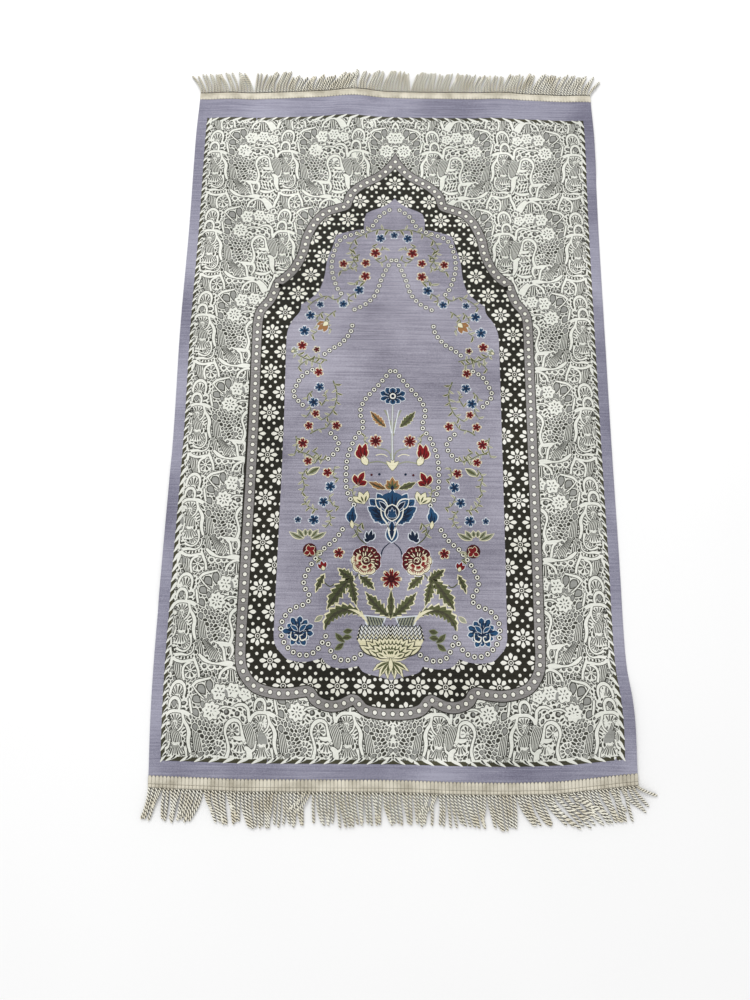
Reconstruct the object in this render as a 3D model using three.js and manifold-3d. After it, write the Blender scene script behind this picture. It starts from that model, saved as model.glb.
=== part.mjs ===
// A prayer rug lying flat: one jacquard-woven cloth, and at each short end a woven heading tape
// with a bullion fringe of twisted cords. Millimetres, +Z up. The origin is on the floor under the
// middle of the cloth, +Y points to the end that the niche points to.
import * as THREE from "three";
import { mergeVertices } from "three/addons/utils/BufferGeometryUtils.js";
import Module from "manifold-3d";

// ---- driving dimensions ----
const CLOTH_WIDTH = 680;
const CLOTH_LENGTH = 1110; // along its two long sides
const CLOTH_THICKNESS = 2;
const CLOTH_COLUMNS = 24;
const CLOTH_ROWS = 36;

const NEAR_TAPE_WIDTH = 14.6; // the part that shows
const FAR_TAPE_WIDTH = 12;
const TAPE_THICKNESS = 2.4;
const TAPE_GAP = 0.3; // between the cloth's end and the tape

const CORDS_PER_END = 132;
const CORD_WIDTH = 3.1;
const CORD_HEIGHT = 2.1;
const CORD_TIP_SHARE = 0.8; // of the cord's width and height, at its cut end
const CORD_ROOT_INSET = 2; // how far a cord's root reaches into the tape
const CORD_STATIONS = [0, 0.35, 0.7, 1]; // shares of a cord's length
const CORD_FLOOR_SHARE = 0.35; // of its length, by which it has come down to the floor
const CORD_CURL = 1.6; // over 1 the cord turns sideways early, and its end runs straighter

const CLOTH_COLOUR = 0x9f9bab;
const FRINGE_COLOUR = 0xd8d0bd;

// ---- how the cloth lies ----
// Half width and sideways shift of the middle, by distance along the rug.
const SIDE_ROWS = [
  { along: -600, half: 341, shift: 0 },
  { along: -555, half: 341, shift: -1 },
  { along: -475, half: 343.5, shift: -2 },
  { along: -390, half: 341, shift: -5.5 },
  { along: -250, half: 340.5, shift: -4.5 },
  { along: -60, half: 339.5, shift: -3.2 },
  { along: 120, half: 341, shift: -3.4 },
  { along: 300, half: 340.5, shift: -1.5 },
  { along: 480, half: 342, shift: 0 },
  { along: 555, half: 340, shift: 0.3 },
  { along: 600, half: 340, shift: 0.3 },
];

// How far each end bows outwards, by distance across the rug.
const END_ROWS = [
  { across: -340, near: 3, far: -3 },
  { across: -280, near: 5, far: -3 },
  { across: -200, near: 7, far: 1 },
  { across: -75, near: 7, far: 8 },
  { across: 0, near: 7, far: 5 },
  { across: 130, near: 9.5, far: 5 },
  { across: 210, near: 8, far: 4.5 },
  { across: 280, near: 2, far: 2 },
  { across: 340, near: -5, far: 0 },
];
const END_REACH = 320; // how far in from an end its bow is felt

// Low ripples where the cloth doesn't lie quite down: a ridge from (x0, y0) to (x1, y1).
const RIPPLES = [
  { x0: -290, y0: 575, x1: -275, y1: 470, height: 2.6, half: 42 },
  { x0: -70, y0: 580, x1: -95, y1: 480, height: 3.4, half: 50 },
  { x0: 185, y0: 575, x1: 170, y1: 500, height: 2.2, half: 45 },
  { x0: 330, y0: 575, x1: 345, y1: 430, height: 2.4, half: 40 },
  { x0: -150, y0: 120, x1: 110, y1: 142, height: 1.4, half: 38 },
  { x0: -215, y0: -575, x1: -225, y1: -490, height: 2.4, half: 45 },
  { x0: 75, y0: -580, x1: 60, y1: -505, height: 2, half: 42 },
  { x0: 225, y0: -585, x1: 262, y1: -510, height: 3, half: 40 },
  { x0: 352, y0: -560, x1: 338, y1: -450, height: 4.2, half: 42 },
  { x0: -345, y0: -300, x1: -350, y1: -120, height: 2, half: 34 },
];

// The fringe falls into locks. Each row is one lock, from left to right: how many cords, how far
// the first and last cord's cut ends lean across the rug, and how long the cords are.
const NEAR_LOCKS = [
  { cords: 4, leanFirst: -7, leanLast: -8, length: 41 },
  { cords: 11, leanFirst: 0, leanLast: -13, length: 42 },
  { cords: 10, leanFirst: 14, leanLast: 2, length: 42 },
  { cords: 11, leanFirst: 8, leanLast: -1, length: 46 },
  { cords: 6, leanFirst: 4, leanLast: 1, length: 44 },
  { cords: 3, leanFirst: 1, leanLast: 0, length: 43 },
  { cords: 5, leanFirst: 6, leanLast: 2, length: 43 },
  { cords: 6, leanFirst: 13, leanLast: 3, length: 45 },
  { cords: 7, leanFirst: 6, leanLast: -1, length: 44 },
  { cords: 8, leanFirst: 7, leanLast: 0, length: 43 },
  { cords: 7, leanFirst: 8, leanLast: -4, length: 43 },
  { cords: 2, leanFirst: 1, leanLast: -1, length: 44 },
  { cords: 5, leanFirst: 6, leanLast: 10, length: 42 },
  { cords: 6, leanFirst: 11, leanLast: 4, length: 42 },
  { cords: 8, leanFirst: 10, leanLast: 1, length: 45 },
  { cords: 7, leanFirst: 20, leanLast: 17, length: 42 },
  { cords: 2, leanFirst: 30, leanLast: 36, length: 42 },
  { cords: 10, leanFirst: 38, leanLast: 22, length: 44 },
  { cords: 6, leanFirst: 24, leanLast: 14, length: 43 },
  { cords: 5, leanFirst: 12, leanLast: 8, length: 45 },
  { cords: 3, leanFirst: 10, leanLast: 14, length: 42 },
];
const FAR_LOCKS = [
  { cords: 15, leanFirst: -8, leanLast: -12, length: 41 },
  { cords: 3, leanFirst: -13, leanLast: -16, length: 39 },
  { cords: 2, leanFirst: 3, leanLast: 5, length: 41 },
  { cords: 2, leanFirst: 8, leanLast: 10, length: 39 },
  { cords: 7, leanFirst: 14, leanLast: 10, length: 41 },
  { cords: 15, leanFirst: 9, leanLast: 16, length: 32 },
  { cords: 7, leanFirst: 18, leanLast: 14, length: 37 },
  { cords: 5, leanFirst: 8, leanLast: 6, length: 38 },
  { cords: 12, leanFirst: 12, leanLast: 6, length: 41 },
  { cords: 3, leanFirst: 4, leanLast: 5, length: 38 },
  { cords: 8, leanFirst: 11, leanLast: 7, length: 40 },
  { cords: 2, leanFirst: 8, leanLast: 7, length: 36 },
  { cords: 9, leanFirst: 11, leanLast: 8, length: 39 },
  { cords: 2, leanFirst: 7, leanLast: 7, length: 36 },
  { cords: 10, leanFirst: 10, leanLast: 7, length: 36 },
  { cords: 10, leanFirst: 13, leanLast: 9, length: 40 },
  { cords: 10, leanFirst: 18, leanLast: 16, length: 41 },
  { cords: 10, leanFirst: 20, leanLast: 17, length: 40 },
];

// ---- the lie of the cloth, as functions of the tables ----
// The named column at a place along a table, on a smooth curve through its rows.
function read(rows, by, column, place) {
  const last = rows.length - 2;
  let i = 0;
  while (i < last && place > rows[i + 1][by]) i += 1;
  const [before, from, to, after] = [i - 1, i, i + 1, i + 2].map(
    (k) => rows[Math.min(Math.max(k, 0), last + 1)],
  );
  const span = to[by] - from[by];
  const t = Math.min(Math.max((place - from[by]) / span, 0), 1);
  const slopeFrom = (to[column] - before[column]) / (to[by] - before[by]);
  const slopeTo = (after[column] - from[column]) / (after[by] - from[by]);
  return (
    from[column] * (1 + 2 * t) * (1 - t) ** 2 +
    to[column] * t * t * (3 - 2 * t) +
    span * (slopeFrom * t * (1 - t) ** 2 - slopeTo * t * t * (1 - t))
  );
}

// Height of the cloth's underside over the floor: the highest ripple there, 0 where none reaches.
function lift(x, y) {
  let height = 0;
  for (const ripple of RIPPLES) {
    const [dx, dy] = [ripple.x1 - ripple.x0, ripple.y1 - ripple.y0];
    const along = ((x - ripple.x0) * dx + (y - ripple.y0) * dy) / (dx * dx + dy * dy);
    const near = Math.min(Math.max(along, 0), 1);
    const away = Math.hypot(x - ripple.x0 - near * dx, y - ripple.y0 - near * dy);
    const across = Math.min(away / ripple.half, 1);
    height = Math.max(height, ripple.height * (1 - across * across) ** 2);
  }
  return height;
}

// Where a place on the flat cut lies: across and along, from the middle of the cloth.
function lie(across, along) {
  const half = read(SIDE_ROWS, "along", "half", along);
  const x = (across / (CLOTH_WIDTH / 2)) * half + read(SIDE_ROWS, "along", "shift", along);
  const end = along < 0 ? "near" : "far";
  const inwards = Math.max(0, CLOTH_LENGTH / 2 - Math.abs(along));
  const felt = (1 - Math.min(inwards / END_REACH, 1)) ** 2;
  const y = along + Math.sign(along) * felt * read(END_ROWS, "across", end, across);
  return new THREE.Vector3(x, y, lift(x, y));
}

// ---- solids ----
function geometryOf(corners, triangles) {
  const geometry = new THREE.BufferGeometry();
  geometry.setAttribute("position", new THREE.Float32BufferAttribute(corners.flat(), 3));
  geometry.setIndex(triangles.flat());
  return geometry;
}

// A slab over a grid of places on the cut: its underside on lie(), its top a thickness above.
function slab(acrossList, alongList, thickness) {
  const [columns, rows] = [acrossList.length, alongList.length];
  const corners = [];
  for (const rise of [0, thickness])
    for (const along of alongList)
      for (const across of acrossList) {
        const point = lie(across, along);
        corners.push([point.x, point.y, point.z + rise]);
      }
  const top = columns * rows;
  const triangles = [];
  const wall = (a, b) => triangles.push([a, b, b + top], [a, b + top, a + top]);
  for (let r = 0; r < rows - 1; r++)
    for (let c = 0; c < columns - 1; c++) {
      const a = r * columns + c;
      const [b, d, e] = [a + 1, a + columns, a + columns + 1];
      triangles.push([a, d, e], [a, e, b]);
      triangles.push([a + top, b + top, e + top], [a + top, e + top, d + top]);
    }
  for (let c = 0; c < columns - 1; c++) {
    wall(c, c + 1);
    wall((rows - 1) * columns + c + 1, (rows - 1) * columns + c);
  }
  for (let r = 0; r < rows - 1; r++) {
    wall((r + 1) * columns, r * columns);
    wall(r * columns + columns - 1, (r + 1) * columns + columns - 1);
  }
  return geometryOf(corners, triangles);
}

// count + 1 evenly spaced places from one number to another.
function evenly(from, to, count) {
  return Array.from({ length: count + 1 }, (_, i) => from + ((to - from) * i) / count);
}

// One fringe cord: three-sided, flat side down, from inside the tape to its cut end on the floor.
function cord(across, rootAlong, outwards, lean, length) {
  const corners = [];
  const root = lie(across, rootAlong);
  for (const share of CORD_STATIONS) {
    const x = root.x + lean * share * share * (CORD_CURL - (CORD_CURL - 1) * share);
    const y = root.y + outwards * length * share;
    const z = root.z * (1 - Math.min(share / CORD_FLOOR_SHARE, 1));
    const size = 1 - (1 - CORD_TIP_SHARE) * share;
    const half = (CORD_WIDTH / 2) * size;
    corners.push([x - half, y, z], [x + half, y, z], [x, y, z + CORD_HEIGHT * size]);
  }
  const triangles = [];
  const last = 3 * (CORD_STATIONS.length - 1);
  for (let base = 0; base < last; base += 3)
    for (let side = 0; side < 3; side++) {
      const [a, b] = [base + side, base + ((side + 1) % 3)];
      triangles.push([a, b, b + 3], [a, b + 3, a + 3]);
    }
  triangles.push([0, 2, 1], [last, last + 1, last + 2]);
  // Sections that run towards +Y see their corners the other way round.
  return geometryOf(corners, outwards > 0 ? triangles.map((t) => t.toReversed()) : triangles);
}

const wasm = await Module();
wasm.setup();

function solidOf(geometry) {
  const merged = mergeVertices(geometry, 1e-3);
  return new wasm.Manifold(
    new wasm.Mesh({
      numProp: 3,
      vertProperties: merged.attributes.position.array,
      triVerts: new Uint32Array(merged.index.array),
    }),
  );
}

function fusedGeometry(geometries) {
  const mesh = wasm.Manifold.union(geometries.map(solidOf)).getMesh();
  const geometry = new THREE.BufferGeometry();
  geometry.setAttribute("position", new THREE.BufferAttribute(mesh.vertProperties, 3));
  geometry.setIndex(new THREE.BufferAttribute(mesh.triVerts, 1));
  return geometry;
}

// One end's trim: the heading tape with every cord's root fused into it.
function fringe(outwards, tapeWidth, locks) {
  const inner = outwards * (CLOTH_LENGTH / 2 + TAPE_GAP);
  const outer = inner + outwards * tapeWidth;
  const acrossList = evenly(-CLOTH_WIDTH / 2, CLOTH_WIDTH / 2, CLOTH_COLUMNS);
  const alongList = [Math.min(inner, outer), Math.max(inner, outer)];
  const pieces = [slab(acrossList, alongList, TAPE_THICKNESS)];
  const pitch = CLOTH_WIDTH / CORDS_PER_END;
  const rootAlong = outer - outwards * CORD_ROOT_INSET;
  let place = -CLOTH_WIDTH / 2 + pitch / 2;
  for (const lock of locks)
    for (let i = 0; i < lock.cords; i++) {
      const share = lock.cords > 1 ? i / (lock.cords - 1) : 0;
      const lean = lock.leanFirst + (lock.leanLast - lock.leanFirst) * share;
      pieces.push(cord(place, rootAlong, outwards, lean, lock.length));
      place += pitch;
    }
  return fusedGeometry(pieces);
}

// ---- the rug ----
const clothMaterial = new THREE.MeshStandardMaterial({ color: CLOTH_COLOUR, roughness: 0.9, metalness: 0 });
const fringeMaterial = new THREE.MeshStandardMaterial({ color: FRINGE_COLOUR, roughness: 0.85, metalness: 0 });

const rug = new THREE.Group();

function addPiece(name, geometry, material) {
  const mesh = new THREE.Mesh(geometry, material);
  mesh.name = name;
  rug.add(mesh);
}

addPiece(
  "rug_cloth",
  slab(
    evenly(-CLOTH_WIDTH / 2, CLOTH_WIDTH / 2, CLOTH_COLUMNS),
    evenly(-CLOTH_LENGTH / 2, CLOTH_LENGTH / 2, CLOTH_ROWS),
    CLOTH_THICKNESS,
  ),
  clothMaterial,
);
addPiece("near_fringe", fringe(-1, NEAR_TAPE_WIDTH, NEAR_LOCKS), fringeMaterial);
addPiece("far_fringe", fringe(1, FAR_TAPE_WIDTH, FAR_LOCKS), fringeMaterial);

export default rug;
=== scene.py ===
"""A prayer rug lying flat: a jacquard-woven cloth with a flowered niche on a lace ground, and a
fringed tape sewn to each short end."""

import itertools
import math
import random

import bpy
import numpy as np
from mathutils import Matrix, Vector


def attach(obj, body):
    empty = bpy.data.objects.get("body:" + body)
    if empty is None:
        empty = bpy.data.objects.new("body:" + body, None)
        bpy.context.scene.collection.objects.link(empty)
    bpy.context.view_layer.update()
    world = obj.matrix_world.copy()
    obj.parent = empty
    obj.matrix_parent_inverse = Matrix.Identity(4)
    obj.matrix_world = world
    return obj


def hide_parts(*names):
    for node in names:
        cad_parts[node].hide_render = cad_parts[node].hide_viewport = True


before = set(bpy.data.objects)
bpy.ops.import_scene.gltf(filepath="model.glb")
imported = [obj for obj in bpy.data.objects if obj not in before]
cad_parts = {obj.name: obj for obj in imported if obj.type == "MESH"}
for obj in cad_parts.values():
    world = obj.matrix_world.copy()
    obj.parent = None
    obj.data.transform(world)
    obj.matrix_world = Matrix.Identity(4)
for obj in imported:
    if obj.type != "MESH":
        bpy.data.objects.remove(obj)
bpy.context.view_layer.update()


# ---- The cloth ----
# One sheet of jacquard weave, cut 680 by 1110 mm, with its long sides turned under and pressed.
# It lies as it was put down: its sides and ends bow a little, and low ripples run in from the ends.
MM = 0.001
CLOTH_WIDTH, CLOTH_LENGTH, CLOTH_THICKNESS = 680, 1110, 2.0
EDGE_ROUND = 1.2  # how far in from the rim the edges are rounded
HEM_WIDTH, HEM_RISE = 13, 0.35  # the sides that are turned under stand a little higher
CLOTH_CELL = 6

# along the rug, half width there, sideways shift of the middle
SIDES = [
    (-600, 341, 0), (-555, 341, -1), (-475, 343.5, -2), (-390, 341, -5.5),
    (-250, 340.5, -4.5), (-60, 339.5, -3.2), (120, 341, -3.4), (300, 340.5, -1.5),
    (480, 342, 0), (555, 340, 0.3), (600, 340, 0.3),
]
# across the rug, how far the near end bows outwards there, and the far end
ENDS = [
    (-340, 3, -3), (-280, 5, -3), (-200, 7, 1), (-75, 7, 8), (0, 7, 5),
    (130, 9.5, 5), (210, 8, 4.5), (280, 2, 2), (340, -5, 0),
]
END_REACH = 320  # how far in from an end its bow is felt
RIM_STEPS = [0, 0.15, 0.5, 1.2]  # the first places in from the rim, where it is rounded
WELD = 1e-7  # metres within which the rims of the face and of the underside are joined
# a ridge from x, y to x, y, its height and half width
RIPPLES = [
    (-290, 575, -275, 470, 2.6, 42), (-70, 580, -95, 480, 3.4, 50), (185, 575, 170, 500, 2.2, 45),
    (330, 575, 345, 430, 2.4, 40), (-150, 120, 110, 142, 1.4, 38),
    (-215, -575, -225, -490, 2.4, 45), (75, -580, 60, -505, 2, 42),
    (225, -585, 262, -510, 3, 40), (352, -560, 338, -450, 4.2, 42),
    (-345, -300, -350, -120, 2, 34),
]


def read(rows, column, at):
    """A column of a table where its first column is at, on a smooth curve through the rows."""
    keys = np.array([row[0] for row in rows], float)
    values = np.array([row[column] for row in rows], float)
    order = np.arange(len(keys))
    before, after = np.maximum(order - 1, 0), np.minimum(order + 1, len(keys) - 1)
    slopes = (values[after] - values[before]) / (keys[after] - keys[before])
    i = np.clip(np.searchsorted(keys, at) - 1, 0, len(keys) - 2)
    span = keys[i + 1] - keys[i]
    t = np.clip((at - keys[i]) / span, 0, 1)
    level = values[i] * (1 + 2 * t) * (1 - t) ** 2 + values[i + 1] * t * t * (3 - 2 * t)
    return level + span * (slopes[i] * t * (1 - t) ** 2 - slopes[i + 1] * t * t * (1 - t))


def lift(x, y):
    """Height of the cloth's underside over the floor, in millimetres."""
    height = np.zeros(np.shape(x))
    for x0, y0, x1, y1, top, half in RIPPLES:
        dx, dy = x1 - x0, y1 - y0
        near = np.clip(((x - x0) * dx + (y - y0) * dy) / (dx * dx + dy * dy), 0, 1)
        away = np.hypot(x - x0 - near * dx, y - y0 - near * dy)
        height = np.maximum(height, top * (1 - np.minimum(away / half, 1) ** 2) ** 2)
    return height


def lie(flat, rise):
    """Where places on the flat cut lie, in metres. A place is across + 1j * along, in mm."""
    across, along = flat.real, flat.imag
    x = across / (CLOTH_WIDTH / 2) * read(SIDES, 1, along) + read(SIDES, 2, along)
    inwards = np.maximum(0, CLOTH_LENGTH / 2 - np.abs(along))
    felt = (1 - np.minimum(inwards / END_REACH, 1)) ** 2
    bow = np.where(along < 0, read(ENDS, 1, across), read(ENDS, 2, across))
    y = along + np.sign(along) * felt * bow
    return np.stack([x, y, lift(x, y) + rise], axis=-1) * MM


def dye(red, green, blue):
    """A colour from 0-255 display values."""
    shares = [v / 255 for v in (red, green, blue)]
    return [v / 12.92 if v <= 0.04045 else ((v + 0.055) / 1.055) ** 2.4 for v in shares] + [1]


class Wire:
    """A shader socket that Python arithmetic works on: each operation adds its Math node."""

    def __init__(self, finish, socket):
        self.finish, self.socket = finish, socket

    def math(self, operation, *others):
        inputs = dict(enumerate([self, *others]))
        return self.finish.node("ShaderNodeMath", {"operation": operation}, inputs)

    def __add__(self, other):
        return self.math("ADD", other)

    def __sub__(self, other):
        return self.math("SUBTRACT", other)

    def __rsub__(self, other):
        return self.finish.node("ShaderNodeMath", {"operation": "SUBTRACT"}, {0: other, 1: self})

    def __mul__(self, other):
        return self.math("MULTIPLY", other)

    __radd__, __rmul__ = __add__, __mul__

    def sine(self):
        return self.math("SINE")

    def within(self, low, high):
        """0 at low and below, 1 at high and above."""
        inputs = {"Value": self, "From Min": low, "From Max": high}
        return self.finish.node("ShaderNodeMapRange", {"interpolation_type": "SMOOTHSTEP"}, inputs)


class Finish:
    """A material made of nodes."""

    def __init__(self, name, roughness=0.9, sheen=0.0):
        self.material = bpy.data.materials.new(name)
        self.material.use_nodes = True
        self.tree = self.material.node_tree
        self.shader = self.tree.nodes["Principled BSDF"]
        self.shader.inputs["Roughness"].default_value = roughness
        self.shader.inputs["Specular IOR Level"].default_value = 0.25
        self.shader.inputs["Sheen Weight"].default_value = sheen
        self.shader.inputs["Sheen Roughness"].default_value = 0.5

    def node(self, kind, settings, inputs, output=0):
        """Adds a node: its settings first, then the values or links of its sockets."""
        made = self.tree.nodes.new(kind)
        for name, value in settings.items():
            setattr(made, name, value)
        for name, value in inputs.items():
            self.join(made.inputs[name], value)
        return Wire(self, made.outputs[output])

    def join(self, socket, value):
        if isinstance(value, Wire):
            self.tree.links.new(value.socket, socket)
        else:
            socket.default_value = value

    def place(self):
        """The piece's own coordinates, in metres."""
        return self.node("ShaderNodeTexCoord", {}, {}, "Object")

    def axes(self):
        place = self.place()
        return [self.node("ShaderNodeSeparateXYZ", {}, {0: place}, axis) for axis in "XYZ"]

    def noise(self, scale, stretch=(1, 1, 1), detail=2.0, roughness=0.5):
        scaled = {"operation": "MULTIPLY"}
        vector = self.node("ShaderNodeVectorMath", scaled, {0: self.place(), 1: stretch})
        inputs = {"Vector": vector, "Scale": scale, "Detail": detail, "Roughness": roughness}
        return self.node("ShaderNodeTexNoise", {}, inputs, "Fac")

    def blend(self, share, first, second):
        """A mix of two colours."""
        inputs = {"Factor": share, 6: first, 7: second}
        return self.node("ShaderNodeMix", {"data_type": "RGBA"}, inputs, 2)

    def colour(self, colour):
        self.join(self.shader.inputs["Base Color"], colour)

    def relief(self, height, distance, strength=1.0):
        inputs = {"Height": height, "Distance": distance, "Strength": strength}
        self.join(self.shader.inputs["Normal"], self.node("ShaderNodeBump", {}, inputs))


PICK = 0.0011  # metres from one weft thread to the next
END = 0.0009  # metres from one warp thread to the next


def woven(name, deep, pale, streak):
    """Yarn laid in by the loom: thick and thin weft streaks across, and the grain of the weave."""
    finish = Finish(name, 0.92, sheen=0.15)
    across, along, _ = finish.axes()
    slub = finish.noise(1, (9, 420, 1), detail=3, roughness=0.65)
    patch = finish.noise(7, detail=3)
    grain = finish.noise(900, (1, 1, 1), detail=1)
    shade = (slub - 0.5) * (1.9 * streak) + (patch - 0.5) * 1.1 + (grain - 0.5) * 0.6 + 0.5
    finish.colour(finish.blend(shade.within(0.0, 1.0), deep, pale))
    picks = (along * (2 * math.pi / PICK)).sine()
    ends = (across * (2 * math.pi / END)).sine()
    finish.relief(picks * ends * 0.5 + grain * 0.6 + slub * 0.8, 0.00025, 0.7)
    return finish.material


def piece_of(name, points, faces, materials, flat=None):
    """A mesh object. flat gives each point's place on the piece's UV map."""
    mesh = bpy.data.meshes.new(name)
    mesh.from_pydata(points.tolist(), [], faces)
    piece = bpy.data.objects.new(name, mesh)
    bpy.context.scene.collection.objects.link(piece)
    for material in materials:
        mesh.materials.append(material)
    if flat is not None:
        corner = np.empty(len(mesh.loops), int)
        mesh.loops.foreach_get("vertex_index", corner)
        places = np.stack([flat.real, flat.imag], axis=-1)[corner]
        mesh.uv_layers.new(name="OFBake").data.foreach_set("uv", places.ravel())
    return piece


def grid_faces(columns, rows, first=0, turned=False):
    """The quads of a grid of points that runs along each row in turn."""
    row, column = np.meshgrid(np.arange(rows - 1), np.arange(columns - 1), indexing="ij")
    a = (first + row * columns + column).ravel()
    quads = np.stack([a, a + 1, a + columns + 1, a + columns], axis=-1)
    return (quads[:, ::-1] if turned else quads).tolist()


def edit_whole(piece, operator, **settings):
    """Runs a mesh operator on the whole of a piece, and leaves the piece selected."""
    bpy.ops.object.select_all(action="DESELECT")
    bpy.context.view_layer.objects.active = piece
    piece.select_set(True)
    bpy.ops.object.mode_set(mode="EDIT")
    bpy.ops.mesh.select_all(action="SELECT")
    operator(**settings)
    bpy.ops.object.mode_set(mode="OBJECT")


def spread(half, cell):
    """Places from -half to half, close together at the rounded rim."""
    inside = half - RIM_STEPS[-1]
    middle = np.linspace(-inside, inside, round(2 * inside / cell) + 1)
    outer = [half - step for step in RIM_STEPS[:-1]]
    return np.array([-place for place in outer] + middle.tolist() + outer[::-1])


cloth_across = spread(CLOTH_WIDTH / 2, CLOTH_CELL)
cloth_along = spread(CLOTH_LENGTH / 2, CLOTH_CELL)
cloth_flat = (cloth_across[None, :] + 1j * cloth_along[:, None]).ravel()
from_rim = np.minimum(
    CLOTH_WIDTH / 2 - np.abs(cloth_flat.real), CLOTH_LENGTH / 2 - np.abs(cloth_flat.imag)
)
rounded = np.sqrt(np.clip(1 - (1 - np.minimum(from_rim / EDGE_ROUND, 1)) ** 2, 0, 1))
to_hem = np.clip((HEM_WIDTH - (CLOTH_WIDTH / 2 - np.abs(cloth_flat.real))) / 2, 0, 1)
top_rise = CLOTH_THICKNESS / 2 * (1 + rounded) + HEM_RISE * to_hem * rounded
under_rise = CLOTH_THICKNESS / 2 * (1 - rounded)
cloth_points = np.concatenate([lie(cloth_flat, top_rise), lie(cloth_flat, under_rise)])
cloth_size = (len(cloth_across), len(cloth_along))
cloth_faces = grid_faces(*cloth_size) + grid_faces(*cloth_size, first=len(cloth_flat), turned=True)
UNFOLD = 1 / 1400  # of the UV map's width, for a millimetre of cloth
FACE_MIDDLE, UNDER_MIDDLE = 0.25 + 0.5j, 0.75 + 0.5j

lilac = woven("lilac ground weave", dye(106, 103, 118), dye(184, 181, 195), streak=0.46)
border_lilac = woven("lilac border weave", dye(98, 96, 116), dye(176, 175, 192), streak=0.46)
reverse = woven("reverse of the weave", dye(92, 90, 98), dye(168, 166, 170), streak=0.9)
cloth_picture = [cloth_flat * UNFOLD + place for place in (FACE_MIDDLE, UNDER_MIDDLE)]
cloth_materials = [border_lilac, reverse]
cloth = piece_of("cloth", cloth_points, cloth_faces, cloth_materials, np.concatenate(cloth_picture))
face_count = len(cloth_faces) // 2
cloth.data.polygons.foreach_set("material_index", [0] * face_count + [1] * face_count)
edit_whole(cloth, bpy.ops.mesh.remove_doubles, threshold=WELD)
bpy.ops.object.shade_smooth()
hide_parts("rug_cloth")
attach(cloth, "root")


# ---- The yarns of the pattern ----
# The pattern is woven in, not printed: each colour of yarn comes to the face where it shows.
# What one colour shows is one piece, a skin of flat shapes that follows the cloth.
LAYER = 0.05  # millimetres between one level of yarn and the next
CROWDED = 20  # the levels above this one lie half as far apart


def circle(sides):
    """So many points round a circle of radius 1."""
    return np.exp(2j * math.pi * np.arange(sides) / sides)


def way(turn):
    """The unit vector that points at so many degrees."""
    return np.exp(1j * math.radians(turn))


class Yarn:
    """The shapes that one colour shows, as places across + 1j * along, in millimetres."""

    hair = 0.0  # how far into its level a shape lies, as two that overlap must not share a plane

    def __init__(self, name, material):
        self.name, self.material = name, material
        self.points, self.rises, self.faces, self.count = [], [], [], 0

    def add(self, points, faces, level):
        height = min(level, CROWDED) + 0.5 * max(0, level - CROWDED) + Yarn.hair
        rise = CLOTH_THICKNESS + LAYER * height
        first = self.count
        self.faces.extend([tuple(first + i for i in face) for face in faces])
        self.points.append(points)
        self.rises.append(np.full(len(points), rise))
        self.count += len(points)

    def fill(self, outline, level):
        """A filled outline, all of which can be seen from its middle."""
        around = len(outline)
        faces = [(i, (i + 1) % around, around) for i in range(around)]
        self.add(np.append(outline, outline.mean()), faces, level)

    def between(self, left, right, level):
        """The strip between two edges that have as many points."""
        side = len(left)
        faces = [(i, i + 1, side + i + 1, side + i) for i in range(side - 1)]
        self.add(np.concatenate([left, right]), faces, level)

    def line(self, path, width, level):
        """A line along a path. width is one number, or several spread along it."""
        self.between(*banks(path, width), level)

    def ring(self, centre, outer, inner, level, sides=12):
        around = np.exp(2j * math.pi * np.arange(sides + 1) / sides)
        self.between(centre + outer * around, centre + inner * around, level)

    def disc(self, centre, radius, level, sides=9):
        self.fill(centre + radius * circle(sides), level)

    def panel(self, left, right, low, high, level, cell=8):
        """A rectangle, in cells small enough to follow the ripples."""
        columns = np.linspace(left, right, max(2, round((right - left) / cell) + 1))
        rows = np.linspace(low, high, max(2, round((high - low) / cell) + 1))
        points = (columns[None, :] + 1j * rows[:, None]).ravel()
        self.add(points, grid_faces(len(columns), len(rows)), level)

    def weave(self):
        """Makes the piece."""
        flat, rise = np.concatenate(self.points), np.concatenate(self.rises)
        ends = np.array([(face[0], face[1], face[2], face[-1]) for face in self.faces])
        a, b, c, d = flat[ends].T
        turn = ((c - a).conjugate() * (d - b)).imag
        # a strip that turns sharply twists some quads: those are cut into triangles
        first = ((b - a).conjugate() * (c - a)).imag
        second = ((c - a).conjugate() * (d - a)).imag
        faces = []
        for face, whole_turn, one, other in zip(self.faces, turn, first, second):
            if len(face) == 4 and one * other < 0:
                pair = ((face[0], face[1], face[2]), one), ((face[0], face[2], face[3]), other)
            else:
                pair = ((face, whole_turn),)
            faces.extend(part if t > 0 else part[::-1] for part, t in pair if abs(t) > 1e-6)
        picture = flat * UNFOLD + 0.5 + 0.5j
        piece = piece_of(self.name, lie(flat, rise), faces, [self.material], picture)
        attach(piece, "root")
        return piece


def spun(name, finish, deep, pale, streak):
    """A yarn in a finish of its own, streaked between two dyes."""
    return Yarn(name, woven(finish, dye(*deep), dye(*pale), streak))


def banks(path, width):
    """The two edges of a line along a path. width is one number, or several spread along it."""
    widths = np.atleast_1d(width).astype(float)
    share = np.linspace(0, 1, len(path))
    heading = np.gradient(path)
    heading = heading / np.maximum(np.abs(heading), 1e-9)
    half = 0.5j * np.interp(share, np.linspace(0, 1, len(widths)), widths) * heading
    return path + half, path - half


def spot(x=0.0, y=0.0, turn=0.0, side=1):
    """Sets a shape down: turned by degrees, moved to x, y, and mirrored for side -1."""

    def put(points):
        down = complex(x, y) + np.asarray(points) * way(turn)
        return down if side > 0 else -np.conjugate(down)

    return put


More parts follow.
